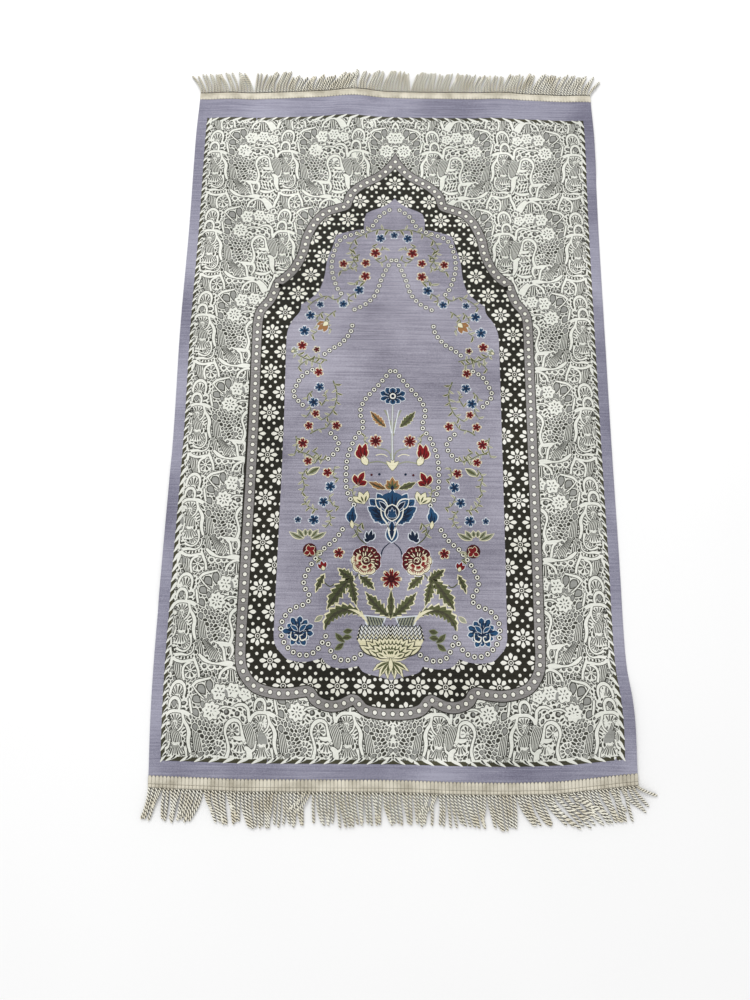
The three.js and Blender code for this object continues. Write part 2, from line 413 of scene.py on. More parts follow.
def curve(*knots, step=2.5):
    """Points about a step apart, on a smooth curve through the knots."""
    at = np.array([complex(*knot) for knot in knots])
    chord = np.abs(np.diff(at))
    slopes = np.diff(at) / chord
    mean = np.append(slopes, slopes[-1])
    if len(at) > 2:
        mean[1:-1] = (at[2:] - at[:-2]) / (chord[1:] + chord[:-1])
        mean[0] = 1.5 * slopes[0] - 0.5 * mean[1]
        mean[-1] = 1.5 * slopes[-1] - 0.5 * mean[-2]
    pieces = []
    for i, length in enumerate(chord):
        t = np.linspace(0, 1, max(2, round(length / step) + 1))[:-1]
        ends = at[i] * (1 + 2 * t) * (1 - t) ** 2 + at[i + 1] * t * t * (3 - 2 * t)
        pull = mean[i] * t * (1 - t) ** 2 - mean[i + 1] * t * t * (1 - t)
        pieces.append(ends + length * pull)
    return np.append(np.concatenate(pieces), at[-1])


def spaced(path, count):
    """So many points along a path, evenly spaced from end to end."""
    far = np.concatenate([[0], np.cumsum(np.abs(np.diff(path)))])
    stops = np.linspace(0, far[-1], count)
    return np.interp(stops, far, path.real) + 1j * np.interp(stops, far, path.imag)


def evenly(path, pitch):
    """Points along a path about a pitch apart, evenly spaced from end to end."""
    return spaced(path, max(2, round(np.abs(np.diff(path)).sum() / pitch) + 1))


def leaf_shape(length, width, fullest=0.5, point=1.0, steps=8):
    """A leaf or petal from its foot at 0 to its tip at length, widest at the share fullest."""
    share = np.linspace(0, 1, steps + 1)
    bend = math.log(0.5) / math.log(fullest)
    half = width / 2 * np.sin(math.pi * share**bend) ** point
    upper = share * length + 1j * half
    lower = share * length - 1j * half
    return np.concatenate([lower[:-1], upper[:0:-1]])


# ---- The lace ground ----
# White yarn drawn as lace over the whole ground between the border and the niche, in one repeat
# that is mirrored about the rug's length: a fine net of dark meshes under scalloped white edges
# that swell and thin, fans of slits, patches of threads, grey drops, eyelets and daisies.
FIELD_HALF = 318
FIELD_NEAR, FIELD_FAR = -528, 510
FIELD_TUCK = 9  # how far the lace runs on under the border
LACE_WIDTH, LACE_HEIGHT = 120.0, 152.7
LACE_START = (-222.0, 432.0)  # of the arch that the repeat is counted from
NET_COLUMNS, NET_ROWS = 20, 28
NET_THREAD = 1.3
NET_SHAKE = 0.36  # how far a knot of the net is moved, as a share of a mesh
EDGE_STEP = 1.9  # millimetres between the points along a thick edge
GROUND_LEVEL, NET_LEVEL, LACE_LEVEL = 2, 3, 5
NET_SHIFT = (60, 92)  # from the repeat's near left corner to that first arch

lace_white = spun("lace_white", "white lace yarn", (212, 214, 204), (250, 250, 242), 0.3)
lace_dark = spun("lace_dark", "dark lace outline yarn", (40, 40, 34), (84, 84, 76), 0.5)
lace_grey = spun("lace_grey", "grey lace filling yarn", (128, 128, 124), (166, 167, 162), 0.5)

ground = (-FIELD_HALF - 4, FIELD_HALF + 4, FIELD_NEAR - 4, FIELD_FAR + 4)
lace_white.panel(*ground, GROUND_LEVEL, cell=7)


def lace_spot(x, y, turn=0.0, side=1):
    """A spot on one half of the lace, which ends under the border."""
    put = spot(x, y, turn, side)

    def kept(points):
        down = put(points)
        across = -side * np.clip(-side * down.real, 0, FIELD_HALF + FIELD_TUCK)
        return across + 1j * np.clip(down.imag, FIELD_NEAR - FIELD_TUCK, FIELD_FAR + FIELD_TUCK)

    return kept


def net_of_repeat():
    """The meshes of the net in one repeat: each one's middle, and its corners around that."""
    dice = random.Random(4)
    wide, high = LACE_WIDTH / NET_COLUMNS, LACE_HEIGHT / NET_ROWS
    shake = {}
    for place in itertools.product(range(NET_COLUMNS), range(NET_ROWS)):
        aside = dice.uniform(-NET_SHAKE, NET_SHAKE) * wide
        shake[place] = complex(aside, dice.uniform(-NET_SHAKE, NET_SHAKE) * high)

    def knot(column, row):
        place = complex((column + 0.5 * (row % 2)) * wide, row * high)
        place += shake[column % NET_COLUMNS, row % NET_ROWS]
        x, y = place.real * 2 * math.pi / LACE_WIDTH, place.imag * 2 * math.pi / LACE_HEIGHT
        flow = complex(3.2 * math.sin(y * 2 + x), 3.0 * math.sin(x * 2 - y) + 2 * math.sin(x * 3))
        return place + flow - complex(*NET_SHIFT)

    meshes = []
    for row in range(NET_ROWS):
        for column in range(NET_COLUMNS):
            lean = row % 2
            beside = [
                (column + 1, row), (column + lean, row + 1), (column - 1 + lean, row + 1),
                (column - 1, row), (column - 1 + lean, row - 1), (column + lean, row - 1),
            ]
            middle = knot(column, row)
            knots = [knot(*place) for place in beside]
            corners = [(middle + knots[k] + knots[(k + 1) % 6]) / 3 - middle for k in range(6)]
            meshes.append((middle, np.array(corners), dice.uniform(0.35, 0.75)))
    return meshes


def net_mesh(at, corners, filled):
    """A mesh of the net: dark, with a grey filling that leaves more dark on one side."""
    reach = np.abs(corners)
    hole = corners * np.clip(1 - NET_THREAD / 2 / reach * 1.12, 0.3, 1)
    lace_dark.fill(at(hole), NET_LEVEL)
    if filled > 0.45:
        lace_grey.fill(at(hole * filled - 0.3 + 0.3j), NET_LEVEL + 1)


def lace_edge(at, widths, knots):
    """A thick white edge that swells and thins, a little scalloped, and dark along both sides."""
    smooth = curve(*knots)
    path = spaced(smooth, max(8, round(np.abs(np.diff(smooth)).sum() / EDGE_STEP)))
    share = np.linspace(0, 1, len(path))
    broad = 0.84 * np.interp(share, np.linspace(0, 1, len(widths)), widths)
    broad += 0.5 * np.abs(np.sin(np.arange(len(path)) * math.pi / 3)) - 0.3
    dark, light = banks(path, broad + 2.0), banks(path, broad)
    lace_dark.between(at(dark[0]), at(dark[1]), LACE_LEVEL + 2)
    lace_white.between(at(light[0]), at(light[1]), LACE_LEVEL + 3)


def fan(at, inner, outer, first, last, slits):
    """Dark slits with grey hearts that spread out from a point, on white."""
    arc = np.exp(1j * np.radians(np.linspace(first, last, 3 * slits + 1)))
    lace_white.between(at(arc * (outer + 1.6)), at(arc * max(inner - 1.6, 0.2)), LACE_LEVEL)
    share = math.radians((last - first) / slits)
    reach = np.linspace(inner, outer, 6)
    half = 0.31 * share * reach * np.array([0.9, 1, 1, 1.04, 0.9, 0.3])
    wedge = np.concatenate([reach - 1j * half, (reach + 1j * half)[::-1]])
    heart = 0.5 * (wedge - 0.62 * outer - 0.38 * inner) + 0.66 * outer + 0.34 * inner
    for k in range(slits):
        turn = np.exp(1j * (math.radians(first) + share * (k + 0.5)))
        lace_dark.fill(at(wedge * turn), LACE_LEVEL + 1)
        if share * outer > 3.4 and k % 3:
            lace_grey.fill(at(heart * turn), LACE_LEVEL + 2)


def eyelet(at, length, width):
    """A dark hole edged white, with a grey heart where it is wide."""
    hole = leaf_shape(length, width, 0.52, 0.55, steps=5) - length / 2
    rim = hole * (1 + 2.4 / np.maximum(np.abs(hole), 1.2))
    lace_white.fill(at(rim), LACE_LEVEL)
    lace_dark.fill(at(hole), LACE_LEVEL + 1)
    if width > 3.9:
        lace_grey.fill(at(hole * 0.52 + 0.25 * width * 0.4j), LACE_LEVEL + 2)


def hatch(at, one, other, threads):
    """White and dark threads side by side, from one edge to the other, on grey."""
    edges = [spaced(curve(*knots), 9) for knots in (one, other)]
    lace_grey.between(at(edges[0]), at(edges[1]), LACE_LEVEL)
    for k in range(threads):
        pitch = abs(edges[1][4] - edges[0][4]) / threads
        for yarn, share, width in ((lace_dark, 0.3, 0.56), (lace_white, 0.8, 0.42)):
            share = (k + share) / threads
            width *= pitch
            path = edges[0] * (1 - share) + edges[1] * share
            thread = banks(path, [0.6 * width, width, 0.7 * width])
            yarn.between(at(thread[0]), at(thread[1]), LACE_LEVEL + 1)


def lace_daisy(at, radius, petals):
    """A white flower whose petals are parted by dark slits round a small dark ring."""
    around = np.linspace(0, 2 * math.pi, petals * 6 + 1)[:-1]
    outline = radius * (0.9 + 0.12 * np.cos(petals * around)) * np.exp(1j * around)
    lace_dark.fill(at(outline * (1 + 1.0 / radius)), LACE_LEVEL + 1)
    lace_white.fill(at(outline), LACE_LEVEL + 2)
    for k in range(petals):
        slit = leaf_shape(radius * 0.36, radius * 0.17, 0.6, 0.7, steps=3) + radius * 0.26
        lace_dark.fill(at(slit * np.exp(2j * math.pi * k / petals)), LACE_LEVEL + 3)
    lace_grey.fill(at(radius * 0.1 * circle(6)), LACE_LEVEL + 3)


def drop(at, length, width):
    """A smooth grey drop, edged white and dark."""
    shape = leaf_shape(length, width, 0.6, 0.62, steps=8)
    middle = length * 0.55
    for yarn, size, step in ((lace_white, 1.14, 0), (lace_dark, 0.94, 1), (lace_grey, 0.7, 2)):
        yarn.fill(at((shape - middle) * size + middle), LACE_LEVEL + step)


# The figures of the repeat, in millimetres across and along from its first arch.
# the widths along a thick white edge, and its knots
EDGES = [
    ([6, 5, 4, 3.6, 5, 6.5, 5, 3.4, 5, 6],
     [(-10, -43), (-7, -31), (-9.5, -19), (-12.5, -9), (-9.5, 1), (-1, 6.5), (7.5, 3.5), (10.5, -6),
      (12, -14), (14.5, -21)]),
    ([4, 7.5, 6], [(-1, -15.5), (5, -17.5), (13, -17)]),
    ([3, 7, 8, 6], [(-30, -41.5), (-22, -43), (-14, -44.5), (-8, -44)]),
    ([5, 4, 4.5, 4.5], [(-25, -44), (-19.5, -50), (-17.5, -58), (-16, -67)]),
    ([6, 5, 4, 3], [(-8.5, -44), (-5.5, -51), (-6.5, -58), (-9.5, -63)]),
    ([4, 7, 3.5, 3.5, 9, 8],
     [(-54, -58), (-45, -66), (-34, -70.5), (-21, -71), (-9, -70.5), (-4, -72)]),
    ([4, 4.5, 5, 4, 5, 7, 7],
     [(-23, -92), (-21, -84), (-14.5, -78), (-7, -75.5), (1, -78.5), (7, -86), (12, -96)]),
    ([4, 5, 4, 4], [(-61, -62), (-57, -72), (-53.5, -80), (-52, -90)]),
    ([3.5, 4.5, 5, 5, 5, 6], [(0, 24.5), (7, 27), (14, 26), (19, 20.5), (20, 12), (22, 5)]),
    ([2.6, 3.2, 3], [(-23, 19), (-15, 23.5), (-4, 22.5)]),
    ([6, 5, 5.5, 5, 7, 7], [(21, 4), (25, 11.5), (31, 16), (40, 16.5), (48, 15.5), (57, 11)]),
    ([4, 3.5, 3, 2.5], [(46.5, 14), (48.5, 6), (46.5, -4), (41, -10)]),
    ([4, 4.5, 5.5, 6.5, 6, 5, 4],
     [(47, 12), (50, 3), (54.5, -4), (57, -12), (56, -22), (57.5, -31), (60, -38)]),
    ([3, 4, 5.5, 5, 4, 4], [(28, 21), (29, 29), (33, 34), (39, 33.5), (42.5, 27), (42, 18)]),
    ([4, 4, 4.5, 6, 5, 4, 3],
     [(28.5, 38), (29.5, 46), (33.5, 53.5), (40, 56.5), (46.5, 53), (49, 46), (48, 37)]),
    ([5, 9, 10, 9, 6, 3.6], [(15, -29), (21, -33), (22, -39), (22.5, -45), (23, -50), (27, -60)]),
    ([2.6, 3, 5], [(30, -24), (28.5, -31), (24, -34)]),
    ([5, 3, 2.6, 2.6, 3, 5],
     [(52, -31), (54, -42), (51.5, -50), (45, -54.5), (38, -53), (33, -50)]),
    ([2.4, 2.4, 2.6, 5, 6], [(58.5, -44), (56.5, -55), (49, -59.5), (40, -58.5), (31, -60)]),
    ([6, 5, 4.5, 5, 5], [(29, -63), (34, -67), (43, -69), (52, -67.5), (61, -66)]),
    ([4, 4, 4, 4], [(47, -94), (44.5, -82), (47, -74), (55, -69.5)]),
    ([4, 7, 6, 4], [(-4, -60), (4, -62.5), (13, -62), (20, -58)]),
    ([5, 9, 10, 8], [(2, -74), (7, -80), (12, -86), (16, -94)]),
    ([4, 5, 6, 5], [(28, -62), (27, -72), (23, -81), (20, -92)]),
    ([4, 5, 4, 3], [(-61, 50), (-55, 56.5), (-45, 59.5), (-35, 62)]),
    ([2.2, 2.4, 2], [(-60, 51), (-53, 42), (-44, 34)]),
    ([3, 4, 3.4], [(56, 34), (58, 22), (60, 14)]),
]
# across, along, turn, how far from its middle a slit starts and ends, the sweep, how many slits
FANS = [
    (-2.5, -7.5, 0, 2, 9.4, -72, 252, 8), (9, -21, 0, 4.5, 14, -138, -32, 5),
    (37, 1, 0, 3.4, 11.8, -38, 172, 9), (-22, -32, 0, 5.5, 10.8, -75, 112, 6),
    (39, 35, 0, 4.5, 16.5, 12, 168, 8), (38, -23, 0, 6, 20, -117, -48, 6),
    (43, -40, 0, 3, 10, -82, 8, 4), (55, -81, 0, 2.4, 9.8, 0, 360, 8),
]
# across, along, radius, petals
LACE_DAISIES = [(-33, 17.5, 13, 8), (-22, 43, 12, 6), (-3, 45.5, 11, 6), (14.5, 40.5, 9.5, 5)]
# across, along, turn, length, width
DROPS = [
    (-41, 38, 128, 20, 14), (-35, 40, 98, 22, 12), (-47, 27, 140, 17, 13), (-45, 20, 95, 12, 7),
    (-50, 8, 125, 16, 11), (-53, -11, 105, 13, 9), (-40, 30, 130, 12, 4.4), (-37, 30, 95, 11, 4.4),
    (-31, 32, 115, 10, 4), (-9, 31, 108, 20, 6.4), (34.5, 20.5, 88, 12, 8), (-22, -36, 80, 8, 7),
]
# one edge of a patch of threads, its other edge, how many threads
HATCHES = [
    ([(11.5, -1), (13, -9), (16, -17), (19.5, -28)],
     [(22, 2), (27.5, -6), (30, -16), (29, -29)], 6),
    ([(29, 4), (31, -3), (33, -9)], [(36, 1), (38, -4), (41, -8)], 3),
    ([(30, -9), (31, -16), (33, -24)], [(40, -9), (46, -15), (48, -25)], 6),
    ([(-53, -36), (-46, -47), (-41, -57), (-37, -66)],
     [(-40, -41), (-31, -50), (-25, -58), (-21, -66)], 6),
    ([(-59, -38), (-56, -48), (-55, -60)], [(-54, -37), (-48, -49), (-46, -60)], 3),
    ([(-60, -10), (-58, -22), (-57, -35)], [(-49, -12), (-46, -22), (-43, -35)], 5),
    ([(31, -70), (30.5, -78), (33, -86), (38, -95)], [(42, -71), (41.5, -80), (43, -93)], 4),
    ([(-9, -79), (-10, -86), (-10, -95)], [(-1, -80), (0, -86), (2, -95)], 3),
]
# across, along, turn, length, width
EYELETS = [
    (48, 27, 20, 9, 6), (48, 19.5, 5, 7, 3.6), (52, 44, 80, 6, 3.4), (52.5, 50, 80, 5, 3),
    (44.5, 35, -60, 6, 3), (51, 37, 80, 6, 3), (57, 46, 70, 6, 3), (24, 17, 80, 5, 3.4),
    (23.5, 22.5, 60, 5, 3), (21, 27.5, 30, 7, 4), (26, 34.5, 70, 7, 5), (24, 46, 70, 7, 4.2),
    (20, 53, 60, 7, 4.4), (9, 54, 20, 6, 4), (1, 31.5, 20, 6, 4.2), (-7, 27, 0, 6, 3.6),
    (-13.5, 27.5, -60, 8, 4.4), (-20, 23.5, 20, 7, 4.4), (5.5, 28, 80, 5, 4),
    (12, 30.5, -30, 8, 3.2), (-1, 19, -20, 6, 3.4), (-3.5, 12.5, 0, 5, 3.6), (-9.5, 9, 30, 5, 4),
    (-11, 16.5, 60, 9, 8), (4, 14.5, 30, 8, 7.5), (8, 20.5, -30, 7, 3.4), (15, 15.5, -65, 9, 4),
    (11.5, 8, -60, 9, 5), (-18, 17.5, -30, 7, 3), (-16, 9.5, -40, 8, 3), (-18.5, 6, -40, 7, 2.4),
    (-23.5, 4.5, 65, 6, 3.2), (26.5, 7.5, -40, 8, 4.4), (1.5, -21, 0, 4.5, 3),
    (8, -21.5, 10, 4.5, 3), (-3.5, -27, -80, 7, 3.6), (17, -27, 60, 7, 4), (16, -42, 80, 7, 5),
    (1, -45, -60, 7, 2.6), (6, -46, -60, 7, 2.6), (12, -47, -70, 7, 3), (3, -52, -60, 8, 2.6),
    (8, -53, -60, 9, 2.8), (13, -54, -65, 9, 2.8), (18, -54, -65, 9, 3), (28.5, -52, -75, 9, 3),
    (21, -63, -65, 8, 2.6), (24.5, -66, -65, 8, 3), (0, -67.5, 80, 5, 3), (6, -68, 80, 5, 3.2),
    (12, -68, 80, 5, 3.2), (17.5, -68, 75, 6, 3), (13, -75.5, -50, 6, 3), (17, -79, -70, 7, 3.4),
    (25, -88, 60, 6, 3.4), (31, -49.5, 10, 6, 3), (31.5, -55.5, 30, 6, 3.6),
    (-11.5, -53, -82, 10, 5), (-12.5, -61, -80, 6, 3.2), (-12.5, -66, 20, 6, 4),
    (-17, -87.5, 10, 6, 5), (-13.5, -83, 70, 6, 3.4), (-45, -75, -20, 7, 6),
    (-35, -76, 10, 7, 4.6), (-26.5, -75, 60, 5.5, 5.5), (-18.5, -75, 25, 6, 3),
    (-32.5, -67, 5, 8, 4.4), (-23.5, -67.5, 0, 7, 4.4), (-42, -63, -20, 5, 3.4),
    (-33.5, -44, 30, 6, 5), (50, -8.5, 35, 8, 2.4), (51, -13, 40, 8, 2.4),
    (38.5, -23.5, 20, 5, 3.4), (46, -27, 80, 7, 3.4), (55, 5, -45, 10, 3), (39, -62.5, 80, 5, 3.2),
    (43.5, -64, 80, 5, 3), (48, -63.5, 90, 5, 3), (53, -63, 90, 5, 2.6), (57.5, -61.5, 90, 5, 2.6),
]


def lace_repeat(x, y, side, shown):
    """The figures of one repeat whose first arch stands at x, y, where shown says they show."""

    def each(rows):
        for row in rows:
            Yarn.hair = (Yarn.hair + 0.018) % 0.9
            if isinstance(row[0], list):
                knots = row[1] if isinstance(row[1], list) else row[0]
                around = complex(*np.mean(knots, axis=0))
                if shown(complex(x, y) + around, 26):
                    yield lace_spot(x, y, 0, side), row
            elif shown(complex(x + row[0], y + row[1]), 14):
                yield lace_spot(x + row[0], y + row[1], row[2], side), row[3:]

    Yarn.hair = 0.0
    for at, (one, other, threads) in each(HATCHES):
        hatch(at, one, other, threads)
    for at, row in each(FANS):
        fan(at, *row)
    for at, row in each(DROPS):
        drop(at, *row)
    for at, row in each(EYELETS):
        eyelet(at, *row)
    for at, row in each([(dx, dy, 3 * dx, *rest) for dx, dy, *rest in LACE_DAISIES]):
        lace_daisy(at, *row)
    for at, (widths, knots) in each(EDGES):
        lace_edge(at, widths, knots)
    Yarn.hair = 0.0


# ---- The niche ----
# An arch of lobes that rises to a point, edged by a grey ribbon with white beads, and inside that
# by a black band strewn with white daisies. All of it is woven, and the left mirrors the right.
RIBBON_WIDTH, RIBBON_LINE = 17.0, 1.3
BEAD_INSET, BEAD_PITCH, BEAD_RADIUS = 8.8, 12.5, 3.0
NICHE_ROWS = 71  # of points down each column of the band and of the field

# The ribbon's outer edge, from its point down the right side to the middle of the near end.
# Each row is one lobe.
NICHE_EDGE = [
    [(0, 447), (6, 436), (13, 426), (22, 415.5), (33, 406), (46, 398.5), (60, 390), (72, 380),
     (81, 369), (86, 355)],
    [(87, 350), (100, 346), (118, 339), (134, 324), (145, 305), (153, 284), (158, 258),
     (172, 228), (193, 208)],
    [(196, 203), (200, 190), (205.5, 175), (214, 164), (221.5, 152), (224.5, 134), (225, 112)],
    [(225, 112), (225, -335)],
    [
        (225, -335), (225, -352), (225, -368), (224.9, -383), (224, -398), (220.5, -413),
        (211, -429), (198, -441), (178, -448), (155, -451), (127, -448),
    ],
    [(121, -447), (114, -457), (97, -465.5), (77, -466.5), (57, -459)],
    [(56, -458), (44, -470), (22, -476), (0, -477)],
]
# The black band's inner edge, likewise.
FIELD_EDGE = [
    [(0, 359), (7, 351.5), (15, 345.5), (26, 340), (37, 335.5), (46, 330.5)],
    [(46.5, 330), (50, 318), (50, 301.5)],
    [(50.5, 301), (68, 297.5), (88, 292), (96, 288)],
    [(97, 285), (100, 271), (109, 244), (113, 212), (121, 187), (134, 173), (145, 165)],
    [(148, 163), (150, 150), (160.5, 135), (167.5, 118), (169.5, 98)],
    [(169.5, 98), (169.5, -362)],
    [(169.5, -362), (166, -377), (154, -391), (147, -396), (127, -399), (107, -396)],
    [(99, -393), (89, -403.5), (72, -407.5), (54, -405.5)],
    [(46, -404), (39, -412.5), (17, -418.5), (0, -423)],
]


def edge_of(lobes):
    """The points of half an edge, and the unit vectors from them towards the middle."""
    points, inwards = [], []
    for lobe in lobes:
        path = curve(*lobe, step=3)
        heading = np.gradient(path)
        heading = heading / np.abs(heading)
        if points:
            last = inwards[-1][-1] * 1j
            turn = np.angle(heading[0] / last)
            if abs(turn) > 0.2:
                steps = np.linspace(0, 1, 8)[1:-1]
                points.append(np.full(len(steps), path[0]))
                inwards.append(-1j * last * np.exp(1j * turn * steps))
        points.append(path)
        inwards.append(-1j * heading)
    return np.concatenate(points), np.concatenate(inwards)


def set_in(edge, depth):
    """An edge moved inwards, kept on its own side of the middle."""
    points, inwards = edge
    moved = points + depth * inwards
    return np.maximum(moved.real, 0) + 1j * moved.imag


def fill_niche(yarn, lobes, level):
    """All that an edge encloses, in columns, on both sides."""
    path, _ = edge_of(lobes)
    widest = int(np.argmax(path.real))
    lowest = len(path) - 1 - int(np.argmax(path.real[::-1]))
    above, below = path[: widest + 1], path[lowest:][::-1]
    columns = np.unique(np.concatenate([above.real, below.real]).round(2))
    top = np.interp(columns, above.real, above.imag)
    low = np.interp(columns, below.real, below.imag)
    rows = np.linspace(0, 1, NICHE_ROWS)[:, None]
    points = (columns[None, :] + 1j * (low + (top - low) * rows)).ravel()
    for side in (1, -1):
        yarn.add(spot(side=side)(points), grid_faces(len(columns), NICHE_ROWS), level)


ribbon = spun("niche_ribbon", "grey ribbon yarn", (116, 113, 110), (160, 157, 156), 0.7)
black = spun("niche_band", "black band yarn", (20, 20, 14), (48, 46, 36), 0.5)
white = spun("white_figures", "white figure yarn", (214, 213, 198), (252, 251, 244), 0.4)
field = Yarn("niche_field", lilac)

niche_edge, field_edge = edge_of(NICHE_EDGE), edge_of(FIELD_EDGE)
BAND_LEVEL, RIBBON_LEVEL = 12, 17
fill_niche(black, NICHE_EDGE, BAND_LEVEL)
fill_niche(field, FIELD_EDGE, RIBBON_LEVEL)
for side in (1, -1):
    half = spot(side=side)
    ribbon.between(half(niche_edge[0]), half(set_in(niche_edge, RIBBON_WIDTH)), RIBBON_LEVEL)
    for depth in (0, RIBBON_WIDTH - RIBBON_LINE):
        rim = half(set_in(niche_edge, depth)), half(set_in(niche_edge, depth + RIBBON_LINE))
        black.between(*rim, RIBBON_LEVEL + 1)
bead_path = set_in(niche_edge, BEAD_INSET)
bead_path = bead_path[bead_path.real > 0.01]
for bead in evenly(bead_path, BEAD_PITCH):
    for side in (1, -1) if bead.real > BEAD_RADIUS else (1,):
        black.disc(spot(side=side)(bead), BEAD_RADIUS + 1.0, RIBBON_LEVEL + 1)
        white.disc(spot(side=side)(bead), BEAD_RADIUS, RIBBON_LEVEL + 2)

DAISY_ACROSS, DAISY_ALONG, DAISY_FIRST = 19.25, 34.1, -431.5
DAISY_RING, DOT_RADIUS = 4.6, 2.35
DAISY_PETALS = (10.8, 8.6, 9.4, 8.6)  # their lengths in turn
# across and along from the middle of every second row's daisies
DOTS = [(7.8, 17), (15.3, 9.3), (15.3, -9.3), (7.8, -17), (0, 24.6), (0, -24.6)]


def inside(path, place):
    """Whether a place is inside the closed path."""
    x, y = path.real, path.imag
    nx, ny = np.roll(x, -1), np.roll(y, -1)
    crosses = (y > place.imag) != (ny > place.imag)
    with np.errstate(divide="ignore", invalid="ignore"):
        meets = x + (place.imag - y) / (ny - y) * (nx - x)
    return bool(np.count_nonzero(crosses & (place.real < meets)) % 2)


def whole(edge, depth):
    """The closed path of an edge that is moved inwards."""
    right = set_in(edge, depth)
    return np.concatenate([right, -np.conjugate(right)[::-1]])


band_outside, band_inside = whole(niche_edge, RIBBON_WIDTH - 3), whole(field_edge, 3)


def on_band(places):
    """Whether the middle of a shape lies on the black band."""
    middle = complex(np.mean(places))
    return inside(band_outside, middle) and not inside(band_inside, middle)


def band_shape(shape, level):
    if on_band(shape):
        white.fill(shape, level)


for j in range(-1, 28):
    for i in range(-12, 13):
        if (i + j) % 2:
            continue
        centre = complex(DAISY_ACROSS * i, DAISY_FIRST + DAISY_ALONG * j)
        for k in range(8):
            reach = DAISY_PETALS[k % 4]
            blade = leaf_shape(reach, 6.0, 0.6, 0.75, steps=6) + DAISY_RING
            band_shape(spot(centre.real, centre.imag, 45 * k)(blade), BAND_LEVEL + 1)
        if on_band([centre]):
            white.ring(centre, 4.0, 2.9, BAND_LEVEL + 1)
            white.disc(centre, 1.2, BAND_LEVEL + 1, sides=6)
        for dx, dy in () if j % 2 else DOTS:
            for flip in (1, -1) if dx else (1,):
                dot = DOT_RADIUS * circle(8)
                band_shape(centre + complex(dx * flip, dy) + dot, BAND_LEVEL + 1)

# The lace is laid once the niche's edge is known, so that none is wasted under the band.
niche_cover, niche_core = whole(niche_edge, 8), whole(niche_edge, 24)


def lace_shows(place, around, cover):
    """Whether what stands at a place shows on the left half of the lace."""
    across = -FIELD_HALF - around < place.real < around
    along = FIELD_NEAR - around < place.imag < FIELD_FAR + around
    return across and along and not inside(cover, place)


net = net_of_repeat()
for column in range(-1, 3):
    for row in range(-1, 8):
        x, y = LACE_START[0] + column * LACE_WIDTH, LACE_START[1] - row * LACE_HEIGHT
        for side in (1, -1):
            for middle, corners, filled in net:
                place = complex(x, y) + middle
                if lace_shows(place, 0, niche_cover):
                    net_mesh(lace_spot(place.real, place.imag, 0, side), corners, filled)
            lace_repeat(x, y, side, lambda place, around: lace_shows(place, around, niche_core))


# ---- The border ----
# A plain lilac border frames the lace, and between them runs a rope stripe: white slanted strokes
# on dark olive.
BORDER_LEVEL = 10
GUARD = 5.5  # the stripe's width
SIDE_STROKE, SIDE_PITCH = 14, 14.6
END_STROKE, END_PITCH = 17, 20.0
border = Yarn("border", border_lilac)
guard = spun("rope_stripe", "dark olive stripe yarn", (46, 46, 34), (84, 82, 62), 0.6)
SIDE_SELVEDGE, END_SELVEDGE = 2.5, 2  # left bare at the sides and at the ends
half_length = CLOTH_LENGTH / 2 - END_SELVEDGE
for side in (1, -1):
    edges = sorted((side * (FIELD_HALF + GUARD), side * (CLOTH_WIDTH / 2 - SIDE_SELVEDGE)))
    border.panel(*edges, -half_length, half_length, BORDER_LEVEL)
    edges = sorted((side * FIELD_HALF, side * (FIELD_HALF + GUARD)))
    guard.panel(*edges, FIELD_NEAR - GUARD, FIELD_FAR + GUARD, BORDER_LEVEL + 1)
for low, high in ((FIELD_FAR, half_length), (-half_length, FIELD_NEAR)):
    border.panel(-FIELD_HALF - GUARD, FIELD_HALF + GUARD, low, high, BORDER_LEVEL)
for low in (FIELD_FAR, FIELD_NEAR - GUARD):
    guard.panel(-FIELD_HALF, FIELD_HALF, low, low + GUARD, BORDER_LEVEL + 1)


def rope_stroke(at, length):
    """A slanted white stroke: its tip is on the border, and it swells as it joins the lace."""
    path = curve(
        (-length * 0.4, -GUARD / 2 - 0.4), (0, 0.4), (length * 0.65, GUARD / 2 + 2.2), step=2
    )
    lace_white.line(at(path), [0.8, 2.6, 3.8, 4.4, 3.8, 1.2], BORDER_LEVEL + 2)
    barb = curve(
        (length * 0.05, -0.6), (length * 0.3, GUARD / 2), (length * 0.5, GUARD / 2 + 5), step=2
    )
    lace_white.line(at(barb), [0.6, 1.8, 2.2, 1.2], BORDER_LEVEL + 2)


for place in np.arange(FIELD_NEAR - 2, FIELD_FAR + 4, SIDE_PITCH):
    for side in (1, -1):
        rope_stroke(spot(FIELD_HALF + GUARD / 2, place, 90, side), SIDE_STROKE)
for place in np.arange(END_PITCH / 2, FIELD_HALF, END_PITCH):
    for side in (1, -1):
        rope_stroke(spot(-place, FIELD_NEAR - GUARD / 2, 0, side), END_STROKE)
        rope_stroke(spot(-place, FIELD_FAR + GUARD / 2, 180, side), END_STROKE)

# ---- The small flowers and sprigs ----
# Two garlands of little blue and red flowers on thin olive stems run down both sides of the lilac
# field, with strings of white rings beside them.
FIGURE_LEVEL = RIBBON_LEVEL + 1
RING_PITCH, RING_GROUND, RING_OUTER, RING_HOLE = 10.0, 4.5, 3.3, 1.7

